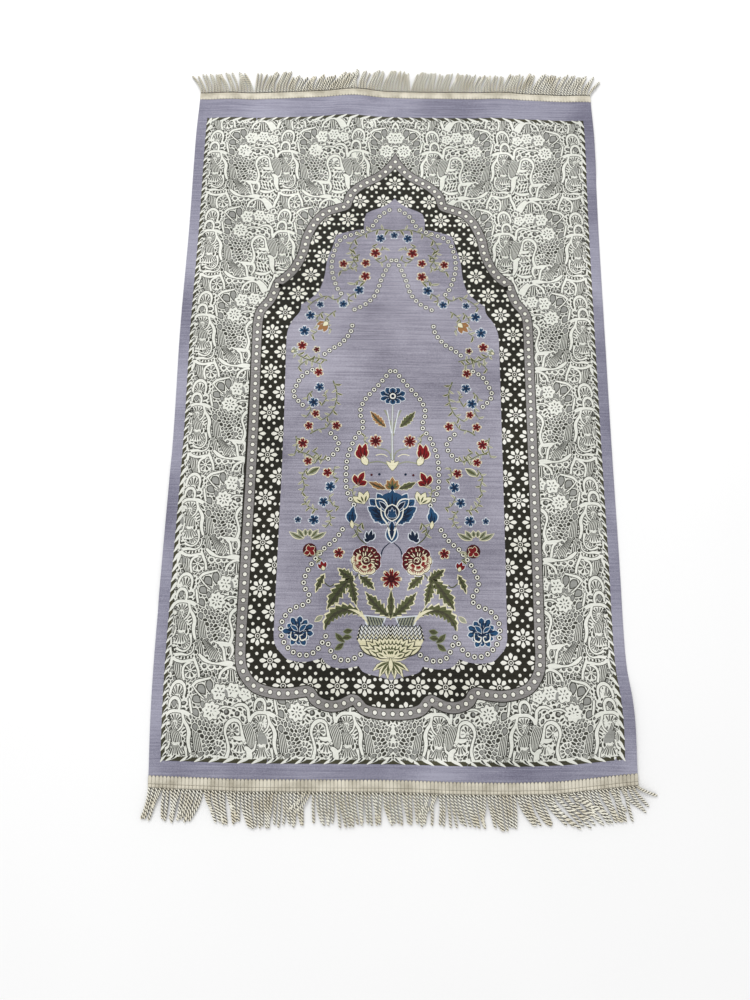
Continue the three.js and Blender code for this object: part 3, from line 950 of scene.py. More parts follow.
blue = spun("blue_figures", "blue figure yarn", (16, 44, 74), (42, 88, 126), 0.6)
navy = spun("navy_figures", "navy figure yarn", (6, 16, 36), (22, 42, 70), 0.7)
red = spun("red_figures", "red figure yarn", (92, 8, 14), (140, 24, 28), 0.6)
maroon = spun("maroon_figures", "maroon figure yarn", (44, 6, 12), (86, 16, 22), 0.7)
olive = spun("olive_figures", "olive figure yarn", (58, 64, 38), (104, 108, 70), 0.6)
sage = spun("sage_figures", "sage figure yarn", (118, 122, 102), (166, 168, 148), 0.7)
cream = spun("cream_figures", "cream figure yarn", (206, 200, 162), (244, 239, 212), 0.5)
halo = spun("halo_figures", "pale halo yarn", (190, 196, 204), (232, 236, 240), 0.5)
tan = spun("tan_figures", "tan figure yarn", (128, 86, 50), (172, 128, 84), 0.6)

# across, along, of the flowers that both sides have
SMALL_FLOWERS = [
    (blue, 22.5, 284, 8), (red, 30.5, 257, 9), (red, 46, 238.5, 7.5), (red, 82.5, 236.5, 7.5),
    (red, 46, 214.5, 8.5), (blue, 55.5, 189.5, 8.5), (blue, 80.5, 164.5, 7.5),
    (blue, 117.5, 163, 6.5), (blue, 132.5, 143.5, 8.5), (blue, 141, 116, 9), (red, 144, 91, 8),
    (maroon, 121, 84.5, 5.5), (red, 117, 46, 7.5), (blue, 115, 21, 8), (blue, 124, -4.5, 8.5),
    (red, 120.5, -23, 6.5), (red, 130.5, -43, 7), (red, 87.5, -42.5, 7.5), (red, 139, -71.5, 8.5),
    (red, 130, -100, 7), (red, 99.5, -118, 7.5), (blue, 94.5, -140, 8.5), (blue, 104, -164, 8),
    (blue, 117.5, -192, 8.5), (blue, 141.5, -192, 5.5), (red, 78.5, -242, 8),
]
# The strings of white rings, on the right.
RING_STRINGS = [
    [(8.5, 337), (25.5, 324), (38.5, 304), (58.5, 294), (83, 285), (93, 274), (100, 251),
     (101, 226), (92.5, 196), (84.5, 183)],
    [(4, 244), (18.5, 213), (28.5, 183), (43, 166), (62, 155)],
    [(65, 126), (68, 114), (82, 96), (97, 86), (108, 77)],
    [(127, 50), (143, 39), (153, 20), (156, 9), (150, 0), (141, -9)],
    [(96, -55), (84, -70), (86, -82), (99, -96)],
    [(4, 49), (22, 26), (44, 0), (51, -20), (46, -43), (58, -62), (69, -92), (71, -120),
     (69, -146), (58, -168)],
    [(74, -206), (85, -222), (102, -237), (122, -265), (129, -288), (119, -309), (127, -318),
     (145, -325), (158, -343), (157, -366), (144, -383), (126, -390), (108, -384), (94, -363)],
    [(90, -374), (79, -393), (60, -396), (43, -388)],
]
# Thin stems on the right, with how many leaves they bear and how long the leaves are.
SPRIGS = [
    ([(0, 298), (26, 300), (48, 292), (66, 280), (74, 262)], 6, 9),
    ([(30, 246), (22, 240), (10, 246)], 2, 8),
    ([(56, 254), (66, 246), (60, 232), (72, 228)], 4, 7),
    ([(46, 204), (58, 206), (64, 198)], 3, 9),
    ([(84, 178), (94, 172), (108, 178), (126, 170), (138, 158)], 5, 7),
    ([(92, 152), (106, 140), (108, 128), (98, 118)], 4, 7),
    ([(160, 86), (148, 74), (132, 66), (114, 60)], 7, 9),
    ([(94, 32), (88, 12), (90, -8), (98, -24), (112, -34)], 7, 8),
    ([(112, -10), (104, 4), (108, 12)], 3, 6),
    ([(128, -56), (118, -50), (104, -46), (96, -34)], 3, 6),
    ([(146, -86), (134, -88), (118, -96), (104, -98)], 6, 7),
    ([(130, -112), (138, -124), (134, -140), (138, -152)], 5, 7),
    ([(112, -176), (126, -172), (134, -160)], 4, 7),
    ([(100, -176), (92, -190), (100, -204)], 4, 6),
    ([(62, 268), (70, 258), (66, 244), (76, 226), (88, 224)], 5, 8),
    ([(36, 270), (22, 262), (14, 268)], 3, 7),
    ([(60, 184), (72, 176), (70, 164)], 3, 7),
    ([(112, 150), (122, 138), (118, 122), (130, 108)], 5, 8),
    ([(104, 66), (124, 70), (142, 62), (150, 52)], 5, 7),
    ([(126, 14), (134, 4), (128, -16), (136, -30)], 4, 7),
    ([(124, -84), (114, -92), (120, -104)], 3, 7),
    ([(150, -60), (148, -78), (152, -92)], 3, 7),
    ([(82, -128), (90, -124), (88, -108)], 3, 6),
    ([(80, -172), (90, -168), (96, -154)], 3, 6),
    ([(52, -160), (60, -150), (58, -138)], 3, 6),
    ([(38, -72), (44, -66), (42, -58)], 2, 7),
    ([(104, -252), (112, -246), (110, -238)], 3, 7),
    ([(44, -196), (52, -204), (50, -214)], 3, 8),
]


def rails(length, width, fullest=0.5, point=1.0, teeth=0, bite=0.35, bend=0.0, start=0.0):
    """The two edges of a leaf or petal along a bent spine, from start to its tip at length."""
    share = np.linspace(0, 1, 4 * teeth + 1 if teeth else 11)
    half = width / 2 * np.sin(math.pi * share ** (math.log(0.5) / math.log(fullest))) ** point
    if teeth:
        half = half * (1 - bite * (1 - (share * teeth) % 1))
    along = start + share * (length - start)
    if bend:
        curl = 1j * math.radians(bend) / length
        spine, heading = (np.exp(curl * along) - 1) / curl, np.exp(curl * along)
    else:
        spine, heading = along + 0j, 1.0
    return spine + 1j * half * heading, spine - 1j * half * heading


def placed(at, x, y, turn):
    """A spot on a figure that is itself set down."""
    inner = spot(x, y, turn)
    return lambda points: at(inner(points))


def petal(at, body, edge, level, length, width, rim=1.1, **shape):
    """A petal or leaf in one yarn with a thin edge of another round it."""
    Yarn.hair = (Yarn.hair + 0.07) % 0.9
    if edge:
        around = dict(shape, start=shape.get("start", 0.0) - rim)
        left, right = rails(length + rim, width + 2 * rim, **around)
        edge.between(at(left), at(right), level)
    left, right = rails(length, width, **shape)
    body.between(at(left), at(right), level + 1)


def striped(at, yarns, level, length, width, stripe, **shape):
    """A petal with a stripe of a third yarn. stripe is its share of the length, width and start."""
    body, edge, shade = yarns
    share, broad, start = stripe
    petal(at, body, edge, level, length, width, **shape)
    bend = shape.get("bend", 0.0)
    petal(at, shade, None, level + 2, length * share, broad, bend=bend, start=start)


def spray(at, yarns, level, petals, stripe=None, **shape):
    """Petals that spread from one foot. Each one: its turn, length, width and bend."""
    for turn, reach, wide, bend in petals:
        blade = placed(at, 0, 0, turn)
        if stripe:
            striped(blade, yarns, level, reach, wide, stripe, bend=bend, **shape)
        else:
            petal(blade, *yarns[:2], level, reach, wide, bend=bend, **shape)


# a petal's own yarn, its edge's and its stripe's
BLUE_PETAL, RED_PETAL = (blue, halo, navy), (red, cream, maroon)
PALE_PETAL, GREEN_BLADE = (cream, olive, olive), (sage, cream, olive)


def leaf(at, length, width, level, body=olive, rim=1.2, **shape):
    """A leaf with a pale edge, darker along its middle, with veins to its teeth."""
    petal(at, body, cream, level, length, width, rim, **shape)
    left, right = rails(length, width, **shape)
    spine = (left + right) / 2
    guard.between(at(spine + 0.16 * (left - spine)), at(spine + 0.42 * (right - spine)), level + 2)
    for k in range(4, len(spine) - 4, 4):
        for side in (left, right):
            vein = np.array([spine[k - 2], spine[k - 1] * 0.4 + side[k + 2] * 0.6])
            guard.line(at(vein), [1.1, 0.4], level + 3)


def blossom(at, yarn, radius, level, lobes=5):
    """A little open flower with notched petals, a pale halo and dark veins."""
    around = 2 * math.pi * np.arange(10 * lobes) / (10 * lobes)
    lobed = 0.4 + 0.6 * np.abs(np.cos(lobes * around / 2)) ** 0.6
    notch = 1 - 0.3 * np.exp(-((np.angle(np.exp(1j * lobes * around)) / 0.36) ** 2))
    shade, edge = (navy, halo) if yarn is blue else (maroon, cream)
    edge.fill(at((radius * (0.16 + 0.84 * lobed) + 1.0) * np.exp(1j * around)), level)
    yarn.fill(at(radius * lobed * notch * np.exp(1j * around)), level + 1)
    for k in range(lobes):
        vein = radius * np.linspace(0.05, 0.68, 3) * np.exp(2j * math.pi * (k + 0.08) / lobes)
        shade.line(at(vein), [radius * 0.3, radius * 0.12], level + 2)
    shade.disc(at(0), radius * 0.2, level + 3, sides=7)


def sprig(at, knots, leaves, length, level):
    """A thin stem with pale-edged leaves to its left and right in turn."""
    stem = curve(*knots, step=3)
    sage.line(at(stem), [2.6, 1.8], level)
    olive.line(at(stem), [1.3, 0.8], level + 1)
    stops = np.linspace(0.1, 0.97, leaves * 3 // 2) * (len(stem) - 1)
    for k, stop in enumerate(stops):
        foot = stem[int(stop)]
        heading = np.angle(stem[min(int(stop) + 1, len(stem) - 1)] - stem[max(int(stop) - 1, 0)])
        tilt = heading + math.radians(42 if k % 2 else -42)
        blade = placed(at, foot.real, foot.imag, math.degrees(tilt))
        reach = length * (1.45, 1.15, 1.3)[k % 3]
        yarn, bend = ((olive, -50), (sage, 50))[k % 2]
        petal(blade, yarn, cream, level + 1, reach, reach * 0.24, rim=0.6, bend=bend)


for side in (1, -1):
    Yarn.hair = 0.0
    for knots, leaves, length in SPRIGS:
        sprig(spot(side=side), knots, leaves, length, FIGURE_LEVEL)
    for yarn, x, y, radius in SMALL_FLOWERS:
        blossom(spot(x, y, 18 + x, side), yarn, radius, FIGURE_LEVEL + 4)
    for string in RING_STRINGS:
        for ring in evenly(curve(*string), RING_PITCH):
            at = spot(side=side)(ring)
            guard.disc(at, RING_GROUND, FIGURE_LEVEL)
            white.ring(at, RING_OUTER, RING_HOLE, FIGURE_LEVEL + 1, sides=10)
            black.disc(at, RING_HOLE, FIGURE_LEVEL + 1, sides=7)
blossom(spot(0, 290, 90), blue, 7, FIGURE_LEVEL + 4)


def bud(at, yarn, level, length=16):
    """A tapered bud in a pale cup."""
    short, wide = length * 0.86, length * 0.36
    petals = [(28, short, wide, 0), (-28, short, wide, 0), (0, length, wide, 0)]
    spray(at, (yarn, halo), level, petals, fullest=0.6)
    petal(at, cream, olive, level + 2, length * 0.48, length * 0.34, fullest=0.4, rim=0.8)


# The turns, lengths, widths and bends of the low plant on each side.
FOLIAGE = [
    (172, 30, 6.5, -30), (150, 22, 6.5, -30), (118, 16, 6.5, -30),
    (62, 16, 6.5, 30), (30, 22, 6.5, 30), (8, 30, 6.5, 30),
]
THISTLE = [
    (60, 10, 6.5, 40), (120, 10, 6.5, 40), (200, 9, 6.5, 40), (320, 9, 6.5, 40), (90, 7, 6.5, 40),
]
for side in (1, -1):
    Yarn.hair = 0.0
    bud(spot(104, 132, -42, side), tan, FIGURE_LEVEL + 3, 22)
    bud(spot(161, 80, 150, side), sage, FIGURE_LEVEL + 3, 12)
    bud(spot(100, -268, 72, side), red, FIGURE_LEVEL + 5, 15)
    blade = spot(112, -110, -32, side)
    striped(blade, GREEN_BLADE, FIGURE_LEVEL + 2, 22, 9, (10 / 11, 4.5, 0), rim=1.4)
    foot = spot(126, -222, 0, side)
    spray(foot, GREEN_BLADE, FIGURE_LEVEL + 2, FOLIAGE, (0.9, 2.6, 6), start=6)
    maroon.disc(spot(side=side)(122 - 238j), 10.5, FIGURE_LEVEL + 5, sides=14)
    spray(spot(122, -240, 0, side), RED_PETAL, FIGURE_LEVEL + 6, THISTLE, rim=0.8)


# ---- The bouquet ----
# In the field's middle a stem rises out of a footed bowl: a blue lily at its top, then red
# flowers, a great blue lotus, two full roses and serrated leaves. Pale yarn edges the shapes.
BOUQUET_LEVEL = FIGURE_LEVEL + 2


def both(x, y, turn=0.0):
    """The same spot on the right and then on the left."""
    for side in (1, -1):
        Yarn.hair = 0.0 if side > 0 else 0.035
        yield spot(x, y, turn, side)


stem = curve((0, -6), (-1, -50), (0, -108))
sage.line(stem, [2.4, 4.0], BOUQUET_LEVEL)
halo.line(stem, [1.0, 1.8], BOUQUET_LEVEL + 1)
for at in both(0, 0):
    sage.line(at(curve((1, -58), (4, -36), (13, -16), step=4)), 2.6, BOUQUET_LEVEL)
    halo.line(at(curve((2, -54), (6, -32), (9, -16), step=4)), 1.4, BOUQUET_LEVEL + 1)
    sage.line(at(curve((1, -104), (6, -84), (24, -78), step=4)), 2.0, BOUQUET_LEVEL)
    sage.line(at(curve((1, -108), (20, -100), (42, -104), step=4)), 2.0, BOUQUET_LEVEL)
    cream.line(at(curve((8, -92), (16, -88), (26, -90), step=3)), 1.4, BOUQUET_LEVEL + 1)
for at, body in zip(both(11, -44, 42), (olive, tan)):
    leaf(at, 35, 15, BOUQUET_LEVEL + 2, body=body, teeth=6, bite=0.4, fullest=0.46, bend=10)

# The lily at the top: the turn, length and width of each petal on one side.
LILY = [(20, 21, 11), (54, 18, 11), (-12, 20, 9), (-44, 15, 9), (90, 15, 12), (-90, 13, 11)]
LILY_HEART = 7j
for at in both(0, 6):
    for k, (turn, reach, wide) in enumerate(LILY):
        turned, level = placed(at, 0, 0, turn), BOUQUET_LEVEL + 3 + 2 * k
        stripe = (0.84, wide * 0.3, 4)
        ragged = {"teeth": 3, "bite": 0.24, "fullest": 0.7}
        striped(turned, BLUE_PETAL, level, reach, wide, stripe, rim=1.2, **ragged)
navy.disc(LILY_HEART, 7.0, BOUQUET_LEVEL + 18, sides=14)
white.ring(LILY_HEART, 4.9, 2.8, BOUQUET_LEVEL + 19)
navy.disc(LILY_HEART, 2.8, BOUQUET_LEVEL + 19)

# Red flowers and buds up the stem.
CROWN = [(58, 20, 7, -60), (24, 27, 8, 20), (-6, 27, 8, 40), (-40, 21, 7, 70)]
for at in both(26.5, -67):
    blossom(at, red, 10.2, BOUQUET_LEVEL + 3, lobes=8)
for at in both(41, -102, 60):
    crown, cup = placed(at, 5, 0, 0), placed(at, -4, 0, 0)
    spray(crown, RED_PETAL, BOUQUET_LEVEL + 3, CROWN, (0.8, 2, 5), rim=1.4, fullest=0.66)
    sepals = [(36, 16, 5, -70), (4, 16, 5, 20), (-32, 16, 5, 60)]
    spray(cup, PALE_PETAL, BOUQUET_LEVEL + 6, sepals, rim=0.8)
for at in both(1, -114, 90):
    spray(at, PALE_PETAL, BOUQUET_LEVEL + 3, [(24, 18, 6, -60), (-2, 18, 6, -60)], rim=0.8)
for at in both(52, -139, 98):
    petals = [(42, 15, 8.5, 24), (2, 24, 8.5, 24), (-38, 19, 8.5, 24)]
    spray(at, RED_PETAL, BOUQUET_LEVEL + 3, petals, (0.8, 2.4, 0), rim=1.4, fullest=0.62)
for at, body in zip(both(9, -143, 16), (olive, tan)):
    leaf(at, 29, 12, BOUQUET_LEVEL + 3, body=body, teeth=4, bite=0.34, fullest=0.5, bend=12)
petals = [
    (150, 13, 8.5, 0), (30, 13, 8.5, 0), (122, 16, 8.5, 0), (58, 16, 8.5, 0), (90, 19, 8.5, 0)
]
spray(spot(0, -143), (tan, cream, olive), BOUQUET_LEVEL + 5, petals, (0.8, 3.4, 0), rim=1.0)
for at in both(42, -167, 66):
    petals = [(36, 21, 8.5, 0), (-34, 21, 8.5, 0), (0, 21, 8.5, 0)]
    spray(at, PALE_PETAL, BOUQUET_LEVEL + 3, petals, (2 / 3, 2.6, 3), rim=0.9, fullest=0.6)
for at in both(20, -120):
    navy.disc(at(0), 2.1, BOUQUET_LEVEL + 2, sides=7)
    maroon.disc(at(12 - 1j), 2.0, BOUQUET_LEVEL + 2, sides=7)

# The lotus: the turn, length, width and bend of each great petal on one side.
LOTUS = [
    (-24, 21, 13, 40), (-4, 32, 17, 30), (20, 41, 20, 14),
    (42, 46, 22, 0), (64, 46, 19, -8), (90, 46, 18, 0),
]
LOTUS_HEART = -190
LOTUS_FOOT = [  # the white lines that curl under it
    [(17, -172), (15, -186), (8, -196), (3, -208)],
    [(6, -198), (5, -208), (3, -216), (0, -222)],
]
for at in both(0, LOTUS_HEART):
    for turn, reach, wide, bend in LOTUS:
        turned = placed(at, 0, 0, turn)
        ragged = {"rim": 1.8, "teeth": 5, "bite": 0.34, "fullest": 0.66, "bend": bend}
        petal(turned, blue, halo, BOUQUET_LEVEL + 4, reach, wide, **ragged)
        for lean in (-11, 0, 11):
            shadow = placed(turned, 0, 0, lean)
            reached = reach * (0.9 - 0.012 * abs(lean))
            petal(shadow, navy, None, BOUQUET_LEVEL + 6, reached, wide * 0.14, start=15, bend=bend)
blunt = {"rim": 1.8, "fullest": 0.66, "point": 0.7}
petal(spot(0, LOTUS_HEART, -90), blue, halo, BOUQUET_LEVEL + 8, 35, 17, **blunt)
petal(spot(0, -192, -90), navy, None, BOUQUET_LEVEL + 10, 27, 5, fullest=0.6)
for at in both(0, 0):
    outer, inner = placed(at, 3, LOTUS_HEART, 74), placed(at, 5, LOTUS_HEART + 6, 72)
    petal(outer, blue, white, BOUQUET_LEVEL + 12, 38, 13, rim=1.8, fullest=0.7, bend=-40)
    petal(inner, navy, halo, BOUQUET_LEVEL + 14, 26, 6, rim=1.0, fullest=0.66, bend=-34)
    for knots in LOTUS_FOOT:
        white.line(at(curve(*knots, step=3)), [1.4, 2.4, 1.2], BOUQUET_LEVEL + 15)
blue.disc(-171j, 23, BOUQUET_LEVEL + 7, sides=24)
petal(spot(0, -192, 90), navy, white, BOUQUET_LEVEL + 16, 24, 20, rim=1.8, fullest=0.5, point=0.6)
petals = [(140, 9, 5, 0), (40, 9, 5, 0), (112, 13, 5, 0), (68, 13, 5, 0), (90, 16, 5, 0)]
spray(spot(0, LOTUS_HEART + 2), BLUE_PETAL, BOUQUET_LEVEL + 18, petals, rim=0.7)
petal(spot(0, -146, 90), navy, None, BOUQUET_LEVEL + 18, 9, 5)
for at in both(60, -199, 82):
    petals = [(34, 21, 8, -50), (0, 29, 8, 24), (-32, 22, 8, 60)]
    spray(at, BLUE_PETAL, BOUQUET_LEVEL + 3, petals, (0.8, 2, 0), rim=1.5, fullest=0.64)
    petal(placed(at, -6, 0, 0), cream, olive, BOUQUET_LEVEL + 6, 13, 5.5, rim=0.8)
for at in both(33, -223, 92):
    petals = [(52, 14, 5.2, -50), (4, 17, 5.2, 10), (-44, 15, 5.2, 50), (-100, 9, 5.2, 60)]
    spray(at, (navy, halo), BOUQUET_LEVEL + 3, petals, rim=1.5)
for at in both(0, 0):
    navy.line(at(curve((3, -226), (13, -236), (16, -250), step=4)), [1.2, 2.2], BOUQUET_LEVEL + 1)
    olive.line(at(curve((38, -228), (48, -220), (56, -206), step=4)), 1.6, BOUQUET_LEVEL + 1)


def rose(at, level):
    """A full flower: dark petals on one side and pale striped ones on the other."""
    around = circle(36)
    rim = 21.5 * (1 + 0.05 * np.cos(9 * np.angle(around)))
    halo.fill(at(around * rim * 1.07), level)
    maroon.fill(at(around * rim), level + 1)
    for ring, (count, foot, reach, wide) in enumerate(((9, 8, 22, 15), (7, 3, 15.5, 12))):
        for k in range(count):
            turn = 360 * k / count + 19 * ring
            pale = math.cos(math.radians(turn + 62)) > 0.0
            body, edge = (cream, maroon) if pale else (maroon, red)
            turned, above = placed(at, 0, 0, turn), level + 2 + 3 * ring
            blunt = {"rim": 0.9, "start": foot, "fullest": 0.66, "point": 0.6, "bend": 16}
            petal(turned, body, edge, above, reach, wide, **blunt)
            for lean in (-15, -7, 0, 7, 15) if pale else (-9, 9):
                vein, yarn = placed(turned, 0, 0, lean), red if pale else cream
                petal(vein, yarn, None, above + 2, reach * 0.9, 1.6, start=foot + 2, bend=16)
    maroon.fill(at(around * 7.5), level + 9)
    for radius, first, last in ((7.2, -150, 60), (4.6, 0, 210), (2.2, -160, 100)):
        sweep = np.exp(1j * np.radians(np.linspace(first, last, 9)))
        cream.line(at(radius * sweep), [0.6, 1.8, 0.6], level + 10)


for at in both(38, -253, 0):
    rose(at, BOUQUET_LEVEL + 4)
blossom(spot(0, -280, 90), red, 15, BOUQUET_LEVEL + 16, lobes=8)

# The leaves over the bowl.
# across, along, turn, length, width, teeth, bend
LEAVES = [
    (61, -279, -46, 56, 24, 7, -18), (60, -280, -98, 40, 17, 6, -12), (55, -281, 26, 28, 19, 5, 16),
    (47, -275, -142, 30, 17, 5, 10), (2, -335, 38, 50, 20, 7, 14), (99, -274, -58, 28, 12, 4, -16),
]
# across, along, turn, length, beside the bowl
LEAFLETS = [(66, -371, 28, 19), (68, -372, -52, 16), (70, -366, 158, 14), (56, -354, -24, 13)]
for x, y, turn, length, width, teeth, bend in LEAVES:
    for at in both(x, y, turn):
        shape = {"rim": 2.4, "teeth": teeth, "bite": 0.52, "fullest": 0.46, "bend": bend}
        leaf(at, length, width, BOUQUET_LEVEL + 1, **shape)
leaf(spot(0, -338, 90), 42, 12, BOUQUET_LEVEL + 1, teeth=4, fullest=0.45, rim=1.6)
for at in both(33, -347, 72):
    leaf(at, 88, 22, BOUQUET_LEVEL + 2, teeth=11, bite=0.52, fullest=0.62, bend=-158, rim=2.3)
    petal(at, cream, None, BOUQUET_LEVEL + 6, 40, 4.5, bend=-70)
for at in both(0, 0):
    for knots in (((48, -272), (56, -282), (60, -290)), ((98, -286), (90, -292), (84, -288))):
        olive.line(at(curve(*knots, step=4)), 1.6, BOUQUET_LEVEL)
    for x, y, turn, length in LEAFLETS:
        blade = placed(at, x, y, turn)
        striped(blade, (olive, sage, guard), BOUQUET_LEVEL, length, 7, (0.8, 2, 0), bend=30)
    petal(placed(at, 99, -334, -36), sage, cream, BOUQUET_LEVEL, 14, 6)

# The bowl.
RIM_Y, BOWL_TOP = -346, -353
BOWL_HALF, BOWL_DEPTH = 50, 29
for at in both(0, 0):
    halo.between(at([6 - 335j, 40 - 332j]), at([11 - 348.5j, 36 - 348.5j]), BOUQUET_LEVEL + 6)
    sage.between(at([9 - 337j, 36 - 334j]), at([13 - 347j, 33 - 347j]), BOUQUET_LEVEL + 7)
    for k in range(6):
        slope = [complex(10 + 4 * k, RIM_Y), complex(14 + 4 * k, RIM_Y + 9 + 0.4 * k)]
        navy.line(at(slope), 1.3, BOUQUET_LEVEL + 8)
    halo.between(at([-347.5j, 44 - 347.5j]), at([-368j, 49 - 368j]), BOUQUET_LEVEL + 6)
    for row, yarn in enumerate((black, white, black, white, black, cream, black)):
        half = 45 + 0.6 * row
        teeth = np.arange(0, 17) * half / 16
        zigzag = teeth + 1j * (BOWL_TOP + 1.5 - 2.7 * row + 5.0 * (np.arange(17) % 2))
        yarn.line(at(zigzag), 2.5 - 0.4 * (row % 2), BOUQUET_LEVEL + 9 - (row % 2))
    belly = curve((0, -398), (16, -396), (32, -388), (43, -377), (49, -366), step=60)
    top = np.linspace(0, 49, 9) + 1j * (BOWL_TOP - 13)
    cream.between(at(top), at(belly[[0, 0, 1, 1, 2, 2, 3, 3, 4]]), BOUQUET_LEVEL + 7)
    for ring, (size, count) in enumerate(((1.0, 7), (0.72, 6), (0.46, 4))):
        for k in range(count):
            turn = 14 + 76 * k / (count - 1)
            aim = way(turn)
            reach = size / abs(complex(aim.real / BOWL_HALF, aim.imag / BOWL_DEPTH))
            turned = placed(at, 0, -394, turn)
            level, stripe = BOUQUET_LEVEL + 14 + 3 * ring, (0.9, 2.4, reach * 0.45)
            shape = {"rim": 1.7, "fullest": 0.7, "bend": 16}
            striped(turned, (cream, guard, olive), level, reach, 9 - ring, stripe, **shape)
    foot = placed(at, 1, -398, 0)
    petals = [(-12, 28, 8.5, -30), (-38, 27, 8.5, -30), (-66, 24, 8.5, -30)]
    ragged = {"rim": 0.9, "teeth": 4, "bite": 0.3}
    spray(foot, PALE_PETAL, BOUQUET_LEVEL + 8, petals, (0.85, 3.4, 0), **ragged)
petal(spot(0, -392, -90), cream, olive, BOUQUET_LEVEL + 24, 20, 6, rim=0.9)


# The turn, length and width of each petal of the ragged blue flowers beside the bowl.
CARNATION = [
    (92, 22, 13), (60, 23, 12), (124, 20, 12), (30, 20, 12), (156, 22, 12), (2, 24, 12),
    (-28, 18, 11), (188, 21, 12), (216, 17, 11), (-60, 21, 11), (-92, 18, 12), (244, 21, 12),
]
SCROLL = [(11, 0), (11, -9), (4, -12), (1.5, -6), (6, -4)]


def carnation(at, level):
    """A ragged blue flower, dark at its heart, with white scrolls below it."""
    for k, (turn, reach, wide) in enumerate(CARNATION):
        turned, above = placed(at, 0, 0, turn), level + 2 * (k % 3)
        ragged = {"rim": 1.4, "teeth": 3, "bite": 0.45, "fullest": 0.68, "start": 1}
        petal(turned, blue, halo, above, reach, wide, **ragged)
        for lean in (-10, 8):
            petal(placed(turned, 0, 0, lean), navy, None, above + 2, reach * 0.86, 2.4, start=6)
    around = circle(18)
    navy.fill(at(around * 6.5 + 2j), level + 8)
    for flip in (1, -1):
        scroll = curve(*((flip * x, y) for x, y in SCROLL))
        white.line(at(scroll), [0.8, 2.2, 1.0], level + 9)
    petal(placed(at, -1, 0, 118), blue, halo, level + 10, 14, 6, rim=0.9, bend=30)
    petal(placed(at, 2, 1, 52), blue, halo, level + 10, 13, 5, rim=0.9, bend=-30)


for at in both(133, -357, 0):
    carnation(at, FIGURE_LEVEL + 3)

grounds = (lace_white, lace_dark, lace_grey, ribbon, black, white, field, border, guard)
figures = (blue, navy, red, maroon, olive, sage, cream, halo, tan)
made = [yarn.weave() for yarn in (*grounds, *figures)]


# ---- The fringed tapes ----
# A ribbed heading tape is sewn along each short end, with a bullion fringe of two-ply cords hanging
# from its outer edge. The cords lie on the floor in locks, some crossing their neighbours.
# Shade is painted into the tape and the cords, in their grooves, dips and flanks.
TAPE_GAP, TAPE_THICKNESS = 0.3, 2.4
NEAR_TAPE, FAR_TAPE = 14.6, 12.0  # how much of the tape shows
NEAR_RIB_SHADE, FAR_RIB_SHADE = 1.0, 0.4  # how much shade is painted in the lines between its ribs and in its seam
CORDS_PER_END = 132
CORD_PITCH = CLOTH_WIDTH / CORDS_PER_END
CORD_RADIUS, CORD_PLY = 1.85, 0.32  # the ply deepens the groove between the two strands
CORD_TWIST = 8.6  # millimetres for a whole turn
CORD_ROOT_INSET, CORD_FLOOR_SHARE = 0.6, 0.35
CORD_STATIONS, CORD_SIDES = 38, 8

# distance from the cloth on a near tape, share of the height, how far it dips between the ribs,
# how much shade is painted all along it: along the tape's edges and in its seam; the last row is a
# low foot under the cords' roots, painted dark for the shade between them
TAPE_ROWS = [
    (0.0, 0.2, 0.0, 1.0), (0.25, 0.9, 0.4, 0.5), (1.0, 1.0, 0.7, 0), (3.0, 1.0, 0.8, 0),
    (6.0, 1.0, 0.8, 0), (8.0, 0.98, 0.7, 0), (8.7, 0.78, 0.5, 0), (9.2, 0.6, 0.15, 0.5),
    (9.7, 0.78, 0.5, 0), (10.4, 0.98, 0.7, 0), (12.6, 1.0, 0.7, 0), (13.8, 0.95, 0.6, 0),
    (14.4, 0.6, 0.4, 0), (14.6, 0.2, 0.0, 0.3), (17.8, 0.1, 0.0, 0.7),
]
SEAM_ROW, SEAM_SWELL = 7, 0.5  # the stitched groove, and how much thicker the cloth side is
RIB_STEPS, DIP_DEPTH = 6, 0.42  # points across a rib, and how deep the dips between ribs are
SCALLOP, SCALLOP_REACH = 2.6, 6.0  # the ribs' round ends lie over the cloth
SWAY, PILE, STRAY_PILE = 1.6, 1.3, 1.6  # how far a cord wanders, and how high it lies on others
LEAN_SHAKE, LENGTH_SHAKE = 1.8, (-3.6, 2.0)
NEAR_SEED, FAR_SEED = 11, 23

# how many cords, the lean of the first one's end and of the last one's, their length
NEAR_LOCKS = [
    (4, -7, -8, 41), (11, 0, -13, 42), (10, 14, 2, 42), (11, 8, -1, 46), (6, 4, 1, 44),
    (3, 1, 0, 43), (5, 6, 2, 43), (6, 13, 3, 45), (7, 6, -1, 44), (8, 7, 0, 43),
    (7, 8, -4, 43), (2, 1, -1, 44), (5, 6, 10, 42), (6, 11, 4, 42), (8, 10, 1, 45),
    (7, 20, 17, 42), (2, 30, 36, 42), (10, 38, 22, 44), (6, 24, 14, 43), (5, 12, 8, 45),
    (3, 10, 14, 42),
]
FAR_LOCKS = [
    (15, -8, -12, 41), (3, -13, -16, 39), (2, 3, 5, 41), (2, 8, 10, 39), (7, 14, 10, 41),
    (15, 9, 16, 32), (7, 18, 14, 37), (5, 8, 6, 38), (12, 12, 6, 41), (3, 4, 5, 38),
    (8, 11, 7, 40), (2, 8, 7, 36), (9, 11, 8, 39), (2, 7, 7, 36), (10, 10, 7, 36),
    (10, 13, 9, 40), (10, 18, 16, 41), (10, 20, 17, 40),
]
